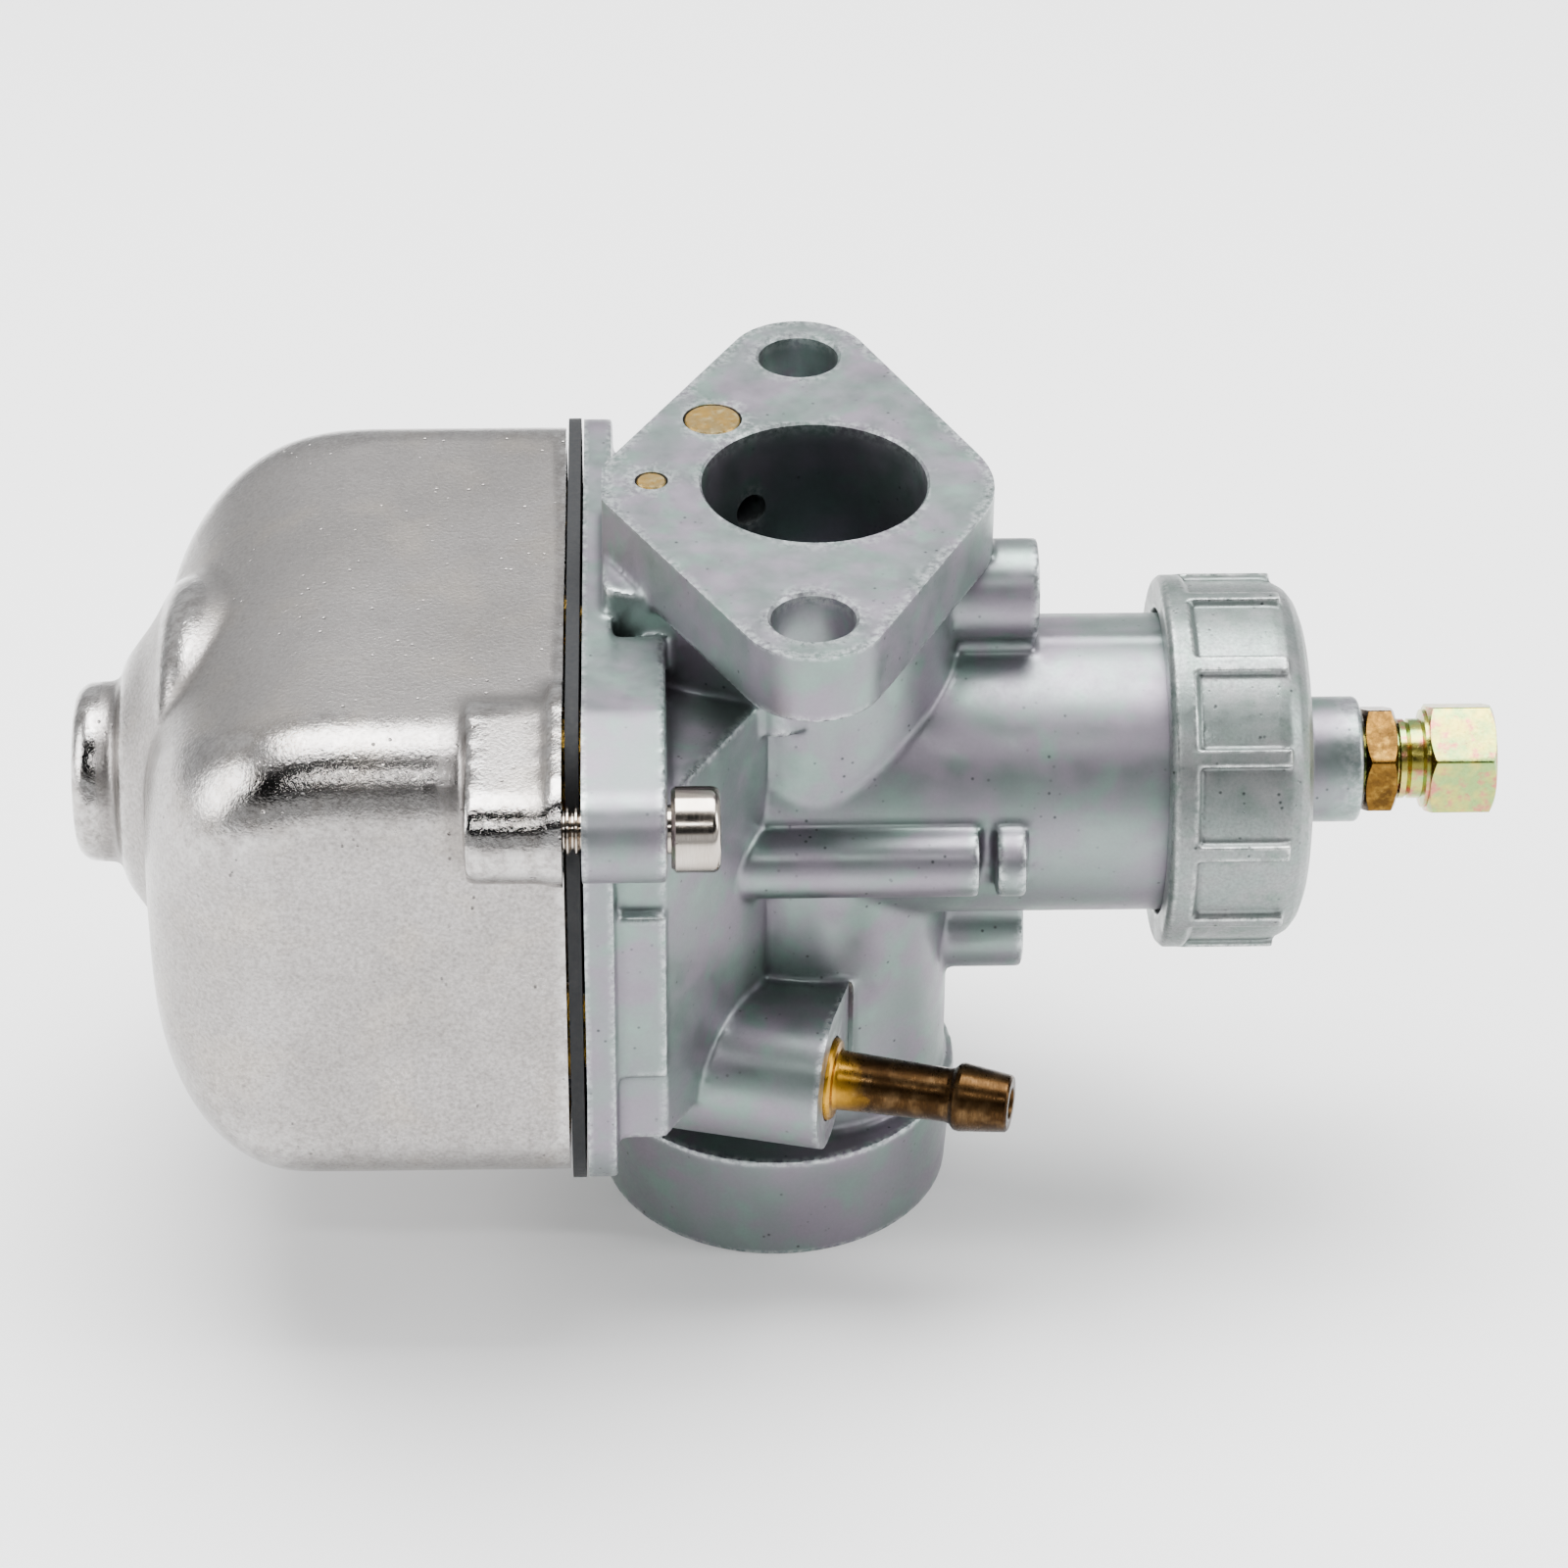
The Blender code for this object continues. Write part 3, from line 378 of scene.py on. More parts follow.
def ramp(tree, source, low, high, fromValue=0.0, toValue=1.0):
    return addNode(
        tree, "MapRange",
        {"From Min": low, "From Max": high, "To Min": fromValue, "To Max": toValue}, {"Value": source},
    ).outputs[0]


def blend(tree, amount, first, second):
    # each of first and second is a colour's hex or a socket
    node = tree.nodes.new("ShaderNodeMix")
    node.data_type = "RGBA"
    tree.links.new(amount, node.inputs[0])
    for slot, value in ((6, first), (7, second)):
        if isinstance(value, str):
            node.inputs[slot].default_value = linear(value)
        else:
            tree.links.new(value, node.inputs[slot])
    return node.outputs[2]


def times(tree, first, second, operation="MULTIPLY"):
    node = addNode(tree, "Math", {"operation": operation, "use_clamp": True}, {0: first})
    if isinstance(second, (int, float)):
        node.inputs[1].default_value = second
    else:
        tree.links.new(second, node.inputs[1])
    return node.outputs[0]


def metalFinish(name, look):
    # one graph for every metal here: tint patches, grain, pits, rubbed edges and darkening in the hollows
    material, tree, shader = newFinish(name, {"Metallic": look.get("metallic", 1.0)})
    coords = addNode(tree, "TexCoord").outputs["Object"]
    patches = ramp(tree, noiseAt(tree, coords, look["patchSize"], 2), 0.38, 0.62)
    colour = blend(tree, patches, look["colour"], look["tint"])
    if "secondTint" in look:
        other = ramp(tree, noiseAt(tree, coords, look["patchSize"] * 0.6, 2), 0.52, 0.68)
        colour = blend(tree, other, colour, look["secondTint"])
    grain = noiseAt(tree, coords, look["grainSize"], 4, 0.6, look.get("grainStretch"))
    colour = blend(tree, ramp(tree, grain, 0.35, 0.7, 0, look["grainTone"]), colour, look["dark"])
    wear = addNode(tree, "Attribute", {"attribute_name": "edgeWear"}).outputs["Fac"]
    broken = ramp(tree, noiseAt(tree, coords, look.get("wearSize", 0.8), 5, 0.7), 0.42, 0.6)
    rubbed = times(tree, ramp(tree, wear, look.get("wearFrom", 0.12), 0.6), broken)
    colour = blend(tree, times(tree, rubbed, look["wearAmount"]), colour, look["bright"])
    # darker where the skin is hollow, by the crevice mark
    hollow = addNode(tree, "Attribute", {"attribute_name": "crevice"}).outputs["Fac"]
    colour = blend(tree, ramp(tree, hollow, 0.05, 0.7, 0, look["hollowDarkening"]), colour, look["dark"])
    cells = addNode(tree, "TexVoronoi", {"Scale": 1 / (look["pitSpacing"] * mm)}, {"Vector": coords})
    pits = ramp(tree, cells.outputs["Distance"], look["pitSize"], look["pitSize"] * 0.4)
    sparse = ramp(tree, noiseAt(tree, coords, look["pitSpacing"] * 4, 2), 0.5, 0.62)
    pits = times(tree, pits, sparse)
    colour = blend(tree, times(tree, pits, look["pitTone"]), colour, look["dark"])
    if "inside" in look:  # painted shade: the bore's walls are darkened, as little light reaches into the bore
        inside = addNode(tree, "Attribute", {"attribute_name": "inside"}).outputs["Fac"]
        colour = blend(tree, times(tree, inside, 0.5), colour, look["inside"])
    tree.links.new(colour, shader.inputs["Base Color"])
    rough = ramp(tree, grain, 0.3, 0.7, look["rough"][0], look["rough"][1])
    drift = look["roughDrift"]
    patchy = ramp(tree, noiseAt(tree, coords, look["patchSize"] * 0.5, 3), 0.3, 0.7, -drift, drift)
    rough = times(tree, rough, patchy, "ADD")
    polish = ramp(tree, wear, 0.1, 0.5, 0, look["polish"])
    rough = times(tree, rough, polish, "SUBTRACT")
    tree.links.new(rough, shader.inputs["Roughness"])
    height = times(tree, grain, 1.0)
    dent = {"operation": "MULTIPLY_ADD", 1: -look["pitDepth"]}
    dented = addNode(tree, "Math", dent, {0: pits, 2: height}).outputs[0]
    relief = {"Strength": look["bump"], "Distance": look["grainSize"] * 0.25 * mm}
    bump = addNode(tree, "Bump", relief, {"Height": dented})
    tree.links.new(bump.outputs[0], shader.inputs["Normal"])
    return material


# zinc alloy, die cast and clear passivated: blue-grey satin with faint pink and green films
castZinc = metalFinish("dieCastZincPassivated", {
    "colour": "#788381", "tint": "#837D87", "secondTint": "#788A84", "dark": "#404446", "bright": "#BFC5C5",
    "patchSize": 6, "grainSize": 0.3, "grainTone": 0.07, "wearAmount": 0.8, "hollowDarkening": 0.5, "wearSize": 0.6,
    "pitSpacing": 1.1, "pitSize": 0.17, "pitTone": 0.9, "pitDepth": 3.0,
    # inside: painted shade for the bore's walls
    "inside": "#3A4246", "metallic": 0.85,
    "rough": (0.37, 0.43), "roughDrift": 0.07, "polish": 0.06, "bump": 0.03,
})
# the same casting, handled more: chips and grey rub marks
scuffedZinc = metalFinish("dieCastZincScuffed", {
    "colour": "#7E8885", "tint": "#898B8B", "secondTint": "#77847E", "dark": "#353A3A", "bright": "#CDD0CE",
    "patchSize": 4, "grainSize": 0.3, "grainTone": 0.3, "wearAmount": 1.0, "hollowDarkening": 0.6, "wearSize": 0.7,
    "pitSpacing": 0.9, "pitSize": 0.22, "pitTone": 0.95, "pitDepth": 3.0,
    "rough": (0.34, 0.47), "roughDrift": 0.08, "polish": 0.06, "bump": 0.14, "metallic": 0.85,
})
# aluminium, die cast and barrel tumbled: warm silver, gritty flats, mirror-bright curves
tumbledAluminium = metalFinish("tumbledCastAluminium", {
    "colour": "#A6A2A0", "tint": "#9C9895", "secondTint": "#A8A29C", "dark": "#4F4B49", "bright": "#DCDAD8",
    "patchSize": 12, "grainSize": 0.34, "grainTone": 0.5, "wearAmount": 0.45, "hollowDarkening": 0.35, "wearSize": 1.5,
    "pitSpacing": 1.2, "pitSize": 0.15, "pitTone": 0.7, "pitDepth": 2.0,
    "rough": (0.27, 0.37), "roughDrift": 0.03, "polish": 0.27, "bump": 0.5, "wearFrom": 0.1,
})
# turned steel, nickel plated: warm, bright, with fine turning lines
nickelPlate = metalFinish("brightNickelPlatedSteel", {
    "colour": "#C2B9AF", "tint": "#B5AA9E", "dark": "#554D46", "bright": "#EAE4DC",
    "patchSize": 3, "grainSize": 0.25, "grainTone": 0.25, "wearAmount": 0.4, "hollowDarkening": 0.5,
    "pitSpacing": 1.5, "pitSize": 0.08, "pitTone": 0.4, "pitDepth": 1.0,
    "rough": (0.1, 0.2), "roughDrift": 0.03, "polish": 0.02, "bump": 0.1, "grainStretch": (3.0, 0.15, 0.15),
})
# zinc plate, yellow chromate: pale gold film that turns green and pink
yellowZinc = metalFinish("yellowPassivatedZincPlate", {
    "colour": "#C0B354", "tint": "#8CAA62", "secondTint": "#C07464", "dark": "#6E6238", "bright": "#E9EBCB",
    "patchSize": 2.0, "grainSize": 0.3, "grainTone": 0.25, "wearAmount": 0.5, "hollowDarkening": 0.4,
    "pitSpacing": 1.2, "pitSize": 0.1, "pitTone": 0.4, "pitDepth": 1.0,
    "rough": (0.17, 0.28), "roughDrift": 0.04, "polish": 0.04, "bump": 0.08,
})
# an older, thicker chromate film: brown gold
bronzeZinc = metalFinish("bronzeChromateZincPlate", {
    "colour": "#6A4B1C", "tint": "#4A3416", "secondTint": "#806027", "dark": "#2E2010", "bright": "#DCC078",
    "patchSize": 1.8, "grainSize": 0.3, "grainTone": 0.4, "wearAmount": 0.6, "hollowDarkening": 0.5,
    "pitSpacing": 1.0, "pitSize": 0.1, "pitTone": 0.5, "pitDepth": 1.0,
    "rough": (0.18, 0.3), "roughDrift": 0.05, "polish": 0.05, "bump": 0.1,
})
# brass plug faced off with the flange: golden with dull smears
plugBrass = metalFinish("filedBrassPlug", {
    "colour": "#B8934A", "tint": "#A08A5C", "secondTint": "#BBA878", "dark": "#584218", "bright": "#DDC588",
    "patchSize": 1.2, "grainSize": 0.2, "grainTone": 0.3, "wearAmount": 0.2, "hollowDarkening": 0.2,
    "pitSpacing": 0.8, "pitSize": 0.12, "pitTone": 0.6, "pitDepth": 1.0,
    "rough": (0.28, 0.4), "roughDrift": 0.06, "polish": 0.0, "bump": 0.15,
})
# free-cutting brass off the lathe: yellow with fine rings
turnedBrass = metalFinish("turnedBrass", {
    "colour": "#BC9848", "tint": "#AF893E", "dark": "#5A411A", "bright": "#DEC37E",
    "patchSize": 4, "grainSize": 0.2, "grainTone": 0.25, "wearAmount": 0.3, "hollowDarkening": 0.3,
    "pitSpacing": 2.0, "pitSize": 0.08, "pitTone": 0.3, "pitDepth": 1.0,
    "rough": (0.2, 0.32), "roughDrift": 0.03, "polish": 0.0, "bump": 0.1, "grainStretch": (4.0, 0.3, 0.3),
})
# drawn wire, lightly oiled: darker grey, smooth
springSteel = metalFinish("drawnSpringSteel", {
    "colour": "#949495", "tint": "#878583", "dark": "#3B3937", "bright": "#C0C0C0",
    "patchSize": 3, "grainSize": 0.3, "grainTone": 0.3, "wearAmount": 0.3, "hollowDarkening": 0.3,
    "pitSpacing": 2.0, "pitSize": 0.06, "pitTone": 0.3, "pitDepth": 1.0,
    "rough": (0.22, 0.34), "roughDrift": 0.03, "polish": 0.0, "bump": 0.06,
})
# zinc slide, hard chromed and ground: cool, with lengthwise rub lines
groundSlide = metalFinish("chromedSlide", {
    "colour": "#8E9195", "tint": "#838689", "dark": "#3A3C40", "bright": "#C4C7C9",
    "patchSize": 5, "grainSize": 0.3, "grainTone": 0.3, "wearAmount": 0.4, "hollowDarkening": 0.3,
    "pitSpacing": 2.0, "pitSize": 0.06, "pitTone": 0.3, "pitDepth": 1.0,
    "rough": (0.24, 0.36), "roughDrift": 0.03, "polish": 0.0, "bump": 0.1, "grainStretch": (0.2, 3.0, 3.0),
})


def tarnishedBrassFinish(look):
    # brass that was heated or aged: golden where it leaves the boss, brown further out
    material = metalFinish("heatTarnishedBrass", look)
    tree = material.node_tree
    shader = tree.nodes["Principled BSDF"]
    link = shader.inputs["Base Color"].links[0]
    coords = addNode(tree, "TexCoord").outputs["Object"]
    alongBarrel = addNode(tree, "SeparateXYZ", links={"Vector": coords}).outputs["X"]
    ragged = noiseAt(tree, coords, 1.6, 4, 0.6)
    shift = {"operation": "MULTIPLY_ADD", 1: 3 * mm}
    shifted = addNode(tree, "Math", shift, {0: ragged, 2: alongBarrel}).outputs[0]
    gold = ramp(tree, shifted, look["goldTo"] + 3.2 * mm, look["goldTo"] - 0.6 * mm)
    colour = blend(tree, gold, link.from_socket, look["gold"])
    tree.links.new(colour, shader.inputs["Base Color"])
    return material


nippleLow = Vector(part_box("fuel_nipple")[0])
tarnishedBrass = tarnishedBrassFinish({
    "colour": "#412E19", "tint": "#322212", "secondTint": "#544029", "dark": "#160E08", "bright": "#957444",
    "gold": "#BC8A26", "goldTo": nippleLow.x + 7.6 * mm,
    "patchSize": 3, "grainSize": 0.3, "grainTone": 0.45, "wearAmount": 0.5, "hollowDarkening": 0.5,
    "pitSpacing": 1.0, "pitSize": 0.1, "pitTone": 0.5, "pitDepth": 1.0,
    "rough": (0.24, 0.4), "roughDrift": 0.06, "polish": 0.05, "bump": 0.1, "grainStretch": (2.0, 0.5, 0.5),
})


def softFinish(name, look):
    # rubber and plastic: no metal, a dull skin with fine texture
    material, tree, shader = newFinish(name, {"IOR": look["ior"]})
    coords = addNode(tree, "TexCoord").outputs["Object"]
    grain = noiseAt(tree, coords, look["grainSize"], 4)
    colour = blend(tree, ramp(tree, grain, 0.35, 0.65), look["colour"], look["tint"])
    tree.links.new(colour, shader.inputs["Base Color"])
    tree.links.new(ramp(tree, grain, 0.3, 0.7, *look["rough"]), shader.inputs["Roughness"])
    bump = addNode(tree, "Bump", {"Strength": 0.3, "Distance": 0.05 * mm}, {"Height": grain})
    tree.links.new(bump.outputs[0], shader.inputs["Normal"])
    return material


# nitrile sheet, stamped: black, dull, slightly dusty
gasketRubber = softFinish("stampedNitrileRubber", {
    "colour": "#0B0C0E", "tint": "#15171A", "grainSize": 0.4, "rough": (0.75, 0.92), "ior": 1.5,
})
# nylon, moulded: near-black satin
floatNylon = softFinish("mouldedBlackNylon", {
    "colour": "#17181A", "tint": "#202124", "grainSize": 0.3, "rough": (0.38, 0.5), "ior": 1.53,
})
print("finishes ready")


def dress(piece, material, body, replaced):
    piece.data.materials.clear()
    piece.data.materials.append(material)
    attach(piece, body)
    if replaced:
        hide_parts(*replaced)
    return piece


# body casting

bodyShape = {
    "lidFace": -16.6, "lidBack": -14.1, "halfWidth": 29.5, "top": 21.0, "bottom": -26.1, "corner": 7.7,
    "boreTube": 12.3, "slideTube": 13.0, "tubeEnd": 40.8, "flangeBottom": 65.1,
    "collar": 15.6, "collarHeight": 11.0, "grid": 0.33, "softening": 7,
}


def lidOutline(grow=0.0):
    b = bodyShape
    wide, top, bottom = (b["halfWidth"] + grow) * mm, (b["top"] + grow) * mm, (b["bottom"] - grow) * mm
    high, low = -slideZ - top, -slideZ - bottom
    corners = [(high, -wide), (low, -wide), (low, wide), (high, wide)]
    return roundCorners(corners, (b["corner"] + grow) * mm, 12)


def lugOutline(y, z, side, grow=0.0, tail=False):
    shapes = [(-z, y, (4.3 + grow) * mm), (-z, y + side * 9 * mm, (5.6 + grow) * mm)]
    if tail:
        shapes.append((-z - side * 3.1 * mm, y + side * 20 * mm, (2 + grow) * mm))
    return hullOutline(shapes)


def flangeOutline():
    return hullOutline([
        (boltX, -boltReach, 6.1 * mm), (boltX, boltReach, 6.1 * mm), (7.2 * mm, -0.6 * mm, 11 * mm),
        (-13.7 * mm, -2.4 * mm, 1.2 * mm), (-13.7 * mm, 2.4 * mm, 1.2 * mm),
    ])


fuelFace = Vector((4.4 * mm, -19 * mm, slideZ - 20 * mm))


def fuelPlace():
    return Matrix.Translation(fuelFace) @ Matrix.Rotation(math.radians(-14), 4, "Z") @ across


def castBody():
    b = bodyShape
    axis = (0, 0, slideZ)
    over = 1 * mm  # spare stock that machining takes off
    wedge = [(-15, -27.6), (-10, -27.6), (-1.3, -12.3), (-1.3, 12.3), (-10, 27.6), (-15, 27.6)]
    neck = [(-14.9, -8), (0, -14), (6, -10), (6, 10), (0, 14), (-14.9, 8)]
    flare = (b["collar"] + 0.7) * mm
    bossShape = [(0, 0, 6.2 * mm), (-4.5 * mm, 8 * mm, 0.6 * mm), (3 * mm, 9 * mm, 0.6 * mm)]
    ridgeLow = (16 * mm, -0.25 * mm, slideZ + 12.5 * mm)
    shapes = [
        slab("lid", lidOutline(), b["lidFace"] * mm - over, b["lidBack"] * mm, across),
        slab("wedge", inMetres(wedge), slideZ - 19.6 * mm, slideZ + 15.2 * mm, upright),
        bar("boreTube", b["boreTube"] * mm, 8 * mm, flangeTop - 2 * mm, alongZ((boreX, 0, 0)), 160),
        bar("slideTube", b["slideTube"] * mm, -15 * mm, b["tubeEnd"] * mm + over, alongX(axis), 160),
        slab("flange", flangeOutline(), b["flangeBottom"] * mm, flangeTop + over, upright),
        slab("neck", roundCorners(inMetres(neck), 1.5 * mm), slideZ + 12 * mm,
             (b["flangeBottom"] + 1) * mm, upright),
        lathe("collar", [(-over, 0), (-over, b["collar"] * mm), ((b["collarHeight"] - 1) * mm, flare),
                         (b["collarHeight"] * mm, flare), (b["collarHeight"] * mm, 0)], upright, 160),
        slab("fuelBoss", hullOutline(bossShape), -19 * mm, 0.4 * mm, fuelPlace()),
        box("pad", (-13.8 * mm, -28.6 * mm, 30.2 * mm), (-9.8 * mm, -26 * mm, 47 * mm)),
        *[bar(f"guideRib{i}", 3.1 * mm, low * mm, high * mm, alongX((0, -13.4 * mm, slideZ - 0.9 * mm)), 96)
          for i, (low, high) in enumerate(((-9, 16.9), (18.4, 21)))],
        bar("upperStub", 4.3 * mm, 2 * mm, 22.2 * mm, alongX((0, 0, slideZ + 18.1 * mm)), 96),
        box("upperWeb", (6 * mm, -2.2 * mm, slideZ + 11 * mm), (22 * mm, 2.2 * mm, slideZ + 18 * mm)),
        bar("lowerStub", 4 * mm, 2 * mm, 22 * mm, alongX((0, 0, slideZ - 17.3 * mm)), 96),
        box("lowerWeb", (6 * mm, -3 * mm, slideZ - 16 * mm), (21.8 * mm, 3 * mm, slideZ - 11 * mm)),
        box("partingRidge", ridgeLow, (34 * mm, 0.25 * mm, slideZ + 13.2 * mm)),
        bar("starterTower", 6.6 * mm, -15 * mm, 15 * mm, alongX((0, 19.5 * mm, slideZ - 10 * mm)), 96),
        box("starterWeb", (-15 * mm, 6 * mm, slideZ - 14 * mm), (12 * mm, 19.5 * mm, slideZ - 6 * mm)),
        bar("stopBoss", 4.2 * mm, 10.7 * mm, 18 * mm, alongY((13 * mm, 0, slideZ + 1 * mm)), 96),
        bar("mixtureBoss", 3.8 * mm, 10 * mm, 17 * mm, alongY((6 * mm, 0, slideZ - 22 * mm)), 96),
    ]
    for name, y, z, side in screwPlaces:
        outline = lugOutline(y, z, side, tail=True)
        shapes.append(slab("lidLug" + name, outline, b["lidFace"] * mm - over, -9.7 * mm, across))
    return cast("bodyCasting", shapes, b["grid"] * mm, b["softening"])


def boreTools():
    # bore, slide bore and every drilling; the bore, intake and bolt holes have a small chamfer where they
    # meet a face
    axis = (0, 0, slideZ)
    portPlace = Matrix.Translation((boreX, 0, 63.7 * mm)) @ Matrix.Rotation(math.radians(123), 4, "Z")
    bore = [(flangeTop + 1 * mm, 0), (flangeTop + 1 * mm, 10.75 * mm), (flangeTop - 0.2 * mm, 9.55 * mm),
            (slideZ + 13 * mm, 9.55 * mm), (slideZ + 9 * mm, 8 * mm), (slideZ - 10 * mm, 8 * mm),
            (14 * mm, 9.6 * mm), (8.9 * mm, 11.2 * mm), (8.9 * mm, 0)]
    intake = [(-1 * mm, 0), (-1 * mm, 14.5 * mm), (0.3 * mm, 13.2 * mm), (9 * mm, 13.2 * mm), (9 * mm, 0)]
    tools = [
        lathe("bore", bore, alongZ((boreX, 0, 0)), 160),
        lathe("intake", intake, upright, 160),
        bar("slideBore", 10.5 * mm, -5.2 * mm, 42 * mm, alongX(axis), 160),
        bar("jetBore", 4.3 * mm, -18 * mm, -4 * mm, alongX(axis), 48),
        bar("largePlugHole", 2.55 * mm, 68.2 * mm, 73 * mm, alongZ((-5.4 * mm, 10.3 * mm, 0)), 64),
        bar("smallPlugHole", 1.42 * mm, 68.2 * mm, 73 * mm, alongZ((-10.7 * mm, 0.3 * mm, 0)), 48),
        bar("nippleSocket", 3.75 * mm, -6 * mm, 1 * mm, fuelPlace(), 64),
        bar("idlePort", 1.5 * mm, 5 * mm, 12.5 * mm, portPlace @ across, 48),
        bar("starterBore", 4.6 * mm, -9 * mm, 16 * mm, alongX((0, 19.5 * mm, slideZ - 10 * mm)), 64),
        bar("stopHole", 2.3 * mm, 8 * mm, 19 * mm, alongY((13 * mm, 0, slideZ + 1 * mm)), 48),
        bar("mixtureHole", 2 * mm, 7 * mm, 18 * mm, alongY((6 * mm, 0, slideZ - 22 * mm)), 48),
    ]
    for i, y in enumerate((-boltReach, boltReach)):
        hole = [(60 * mm, 0), (60 * mm, 3.5 * mm), (flangeTop - 0.25 * mm, 3.5 * mm),
                (flangeTop + 1 * mm, 4.75 * mm), (flangeTop + 1 * mm, 0)]
        tools.append(lathe(f"boltHole{i}", hole, alongZ((boltX, y, 0)), 96))
    for name, y, z, _ in screwPlaces:
        tools.append(bar("screwHole" + name, 2.3 * mm, -18 * mm, -9 * mm, alongX((0, y, z)), 48))
    return tools


def facingTools():
    # the planes that are milled flat: lid, flange, intake rim, tube end and fuel boss
    b = bodyShape
    far = 60 * mm
    tools = [
        box("lidCut", (-30 * mm, -far, -far), (b["lidFace"] * mm, far, 2 * far)),
        box("flangeCut", (-far, -far, flangeTop), (far, far, flangeTop + 9 * mm)),
        box("rimCut", (-far, -far, -9 * mm), (far, far, 0)),
        box("endCut", (b["tubeEnd"] * mm, -far, 0), (b["tubeEnd"] * mm + 9 * mm, far, far)),
        box("bossCut", (-9 * mm, -9 * mm, 0), (7.4 * mm, 7 * mm, 4 * mm), fuelPlace()),
    ]
    return tools


body = castBody()
print("body cast", len(body.data.vertices))
for tool in facingTools() + boreTools():
    machined(body, [tool])
markEdges(shaded(refined(body)))
markBoreShade(body)
dress(body, castZinc, "body", ["carburetor_body"])
print("body machined", len(body.data.vertices))


# float bowl

bowlShape = {
    "halfWidth": 28.8, "top": 20.3, "bottom": -25.4, "corner": 7.0, "rim": -18.2, "end": -53.7,
    "noseEnd": -60.8, "wall": 1.7, "grid": 0.4, "softening": 14,
}


def bowlForm(name, wall, rim):
    b = bowlShape
    distances = [18 * (i / 22) ** 1.8 for i in range(23)] + [None]

    def inset(distance, reach, depth):
        return 0 if distance >= reach else depth * (1 - math.sqrt(1 - (1 - distance / reach) ** 2))

    bm = bmesh.new()
    rings = []
    for distance in distances:
        station = rim if distance is None else b["end"] + wall + distance
        reach = station - b["end"] - wall
        side = wall + inset(reach, 12.5 - wall, 12 - wall)
        top = wall + inset(reach, 18 - wall, 14 - wall)
        wide = (b["halfWidth"] - side) * mm
        low, high = slideZ + (b["bottom"] + side) * mm, slideZ + (b["top"] - top) * mm
        corner = (b["corner"] - wall + 0.18 * (top - wall)) * mm
        outline = roundCorners([(-wide, low), (wide, low), (wide, high), (-wide, high)], corner, 12)
        rings.append([bm.verts.new((station * mm, y, z)) for y, z in outline])
    for first, second in zip(rings, rings[1:]):
        for i in range(len(first)):
            k = (i + 1) % len(first)
            bm.faces.new((first[i], first[k], second[k], second[i]))
    bm.faces.new(rings[0])
    bm.faces.new(rings[-1][::-1])
    return meshOf(bm, name)


def castBowl():
    b = bowlShape
    axis = (0, 0, slideZ)
    nose = [(0, 0), (0, 6.9), (1, 7.86), (3.8, 7.86), (4.4, 9.9), (6.7, 12.95), (7.5, 14.3), (8.4, 16),
            (9.2, 16.8), (10.6, 17.3), (22, 17.3), (22, 0)]
    nose = [((b["noseEnd"] + x) * mm, r * mm) for x, r in nose]
    shapes = [bowlForm("shell", 0, b["rim"] + 1), lathe("nose", nose, alongX(axis), 160)]
    for name, y, z, side in screwPlaces:
        top = b["rim"] * mm + 0.7 * mm
        shapes.append(slab("bowlLug" + name, lugOutline(y, z, side), -26 * mm, top, across))
        lip = lugOutline(y + side * 0.9 * mm, z, side, 0.9)
        shapes.append(slab("bowlLip" + name, lip, -19.3 * mm, top, across))
    return cast("bowlCasting", shapes, b["grid"] * mm, b["softening"])


def bowlTools():
    b = bowlShape
    far = 60 * mm
    noseHollow = [(-58.6, 0), (-58.6, 5.4), (-55.5, 6), (-51.6, 11), (-49, 11), (-49, 0)]
    tools = [
        box("rimCut", (b["rim"] * mm, -far, -far), (0, far, 2 * far)),
        bowlForm("hollow", b["wall"], b["rim"] + 2),
        lathe("noseHollow", inMetres(noseHollow), slideAxis, 64),
    ]
    for name, y, z, _ in screwPlaces:
        tools.append(bar("thread" + name, 2.3 * mm, -24.5 * mm, -17 * mm, alongX((0, y, z)), 48))
    return tools


bowl = castBowl()
print("bowl cast", len(bowl.data.vertices))
for tool in bowlTools():
    machined(bowl, [tool])
markEdges(shaded(refined(bowl)), 8, 26)  # a higher gain, as its wide curves are polished too
dress(bowl, tumbledAluminium, "body", ["float_bowl"])
print("bowl machined", len(bowl.data.vertices))


# gasket

gasketShape = {"grow": 0.0, "inner": -3.2, "ragged": 0.16, "from": -17.95, "to": -16.85}


def gasketPiece():
    g = gasketShape
    coarse = lidOutline(g["grow"])
    outline = []
    for i, point in enumerate(coarse):
        here, ahead = Vector(point), Vector(coarse[(i + 1) % len(coarse)])
        parts = max(1, int((ahead - here).length / (0.7 * mm)))
        outline += [here.lerp(ahead, k / parts) for k in range(parts)]
    middle = Vector((-slideZ + 2.55 * mm, 0))
    drift = 0.0
    rough = []
    for point in outline:
        drift = 0.6 * drift + dice.uniform(-1, 1) * 0.5
        rough.append(tuple(point + (point - middle).normalized() * g["ragged"] * drift * mm))
    sheet = slab("bowlGasketSheet", rough, g["from"] * mm, g["to"] * mm, across)
    hole = slab("hole", lidOutline(g["inner"]), -20 * mm, -15 * mm, across)
    return shaded(machined(sheet, [hole]))


dress(gasketPiece(), gasketRubber, "body", ["bowl_gasket"])


# bowl screws

screwShape = {
    "head": -9.4, "headLength": 4.0, "headRadius": 3.5, "thread": 2.0, "pitch": 0.7, "end": -24.0,
    "socket": 3.0, "headEdge": 0.7,
}


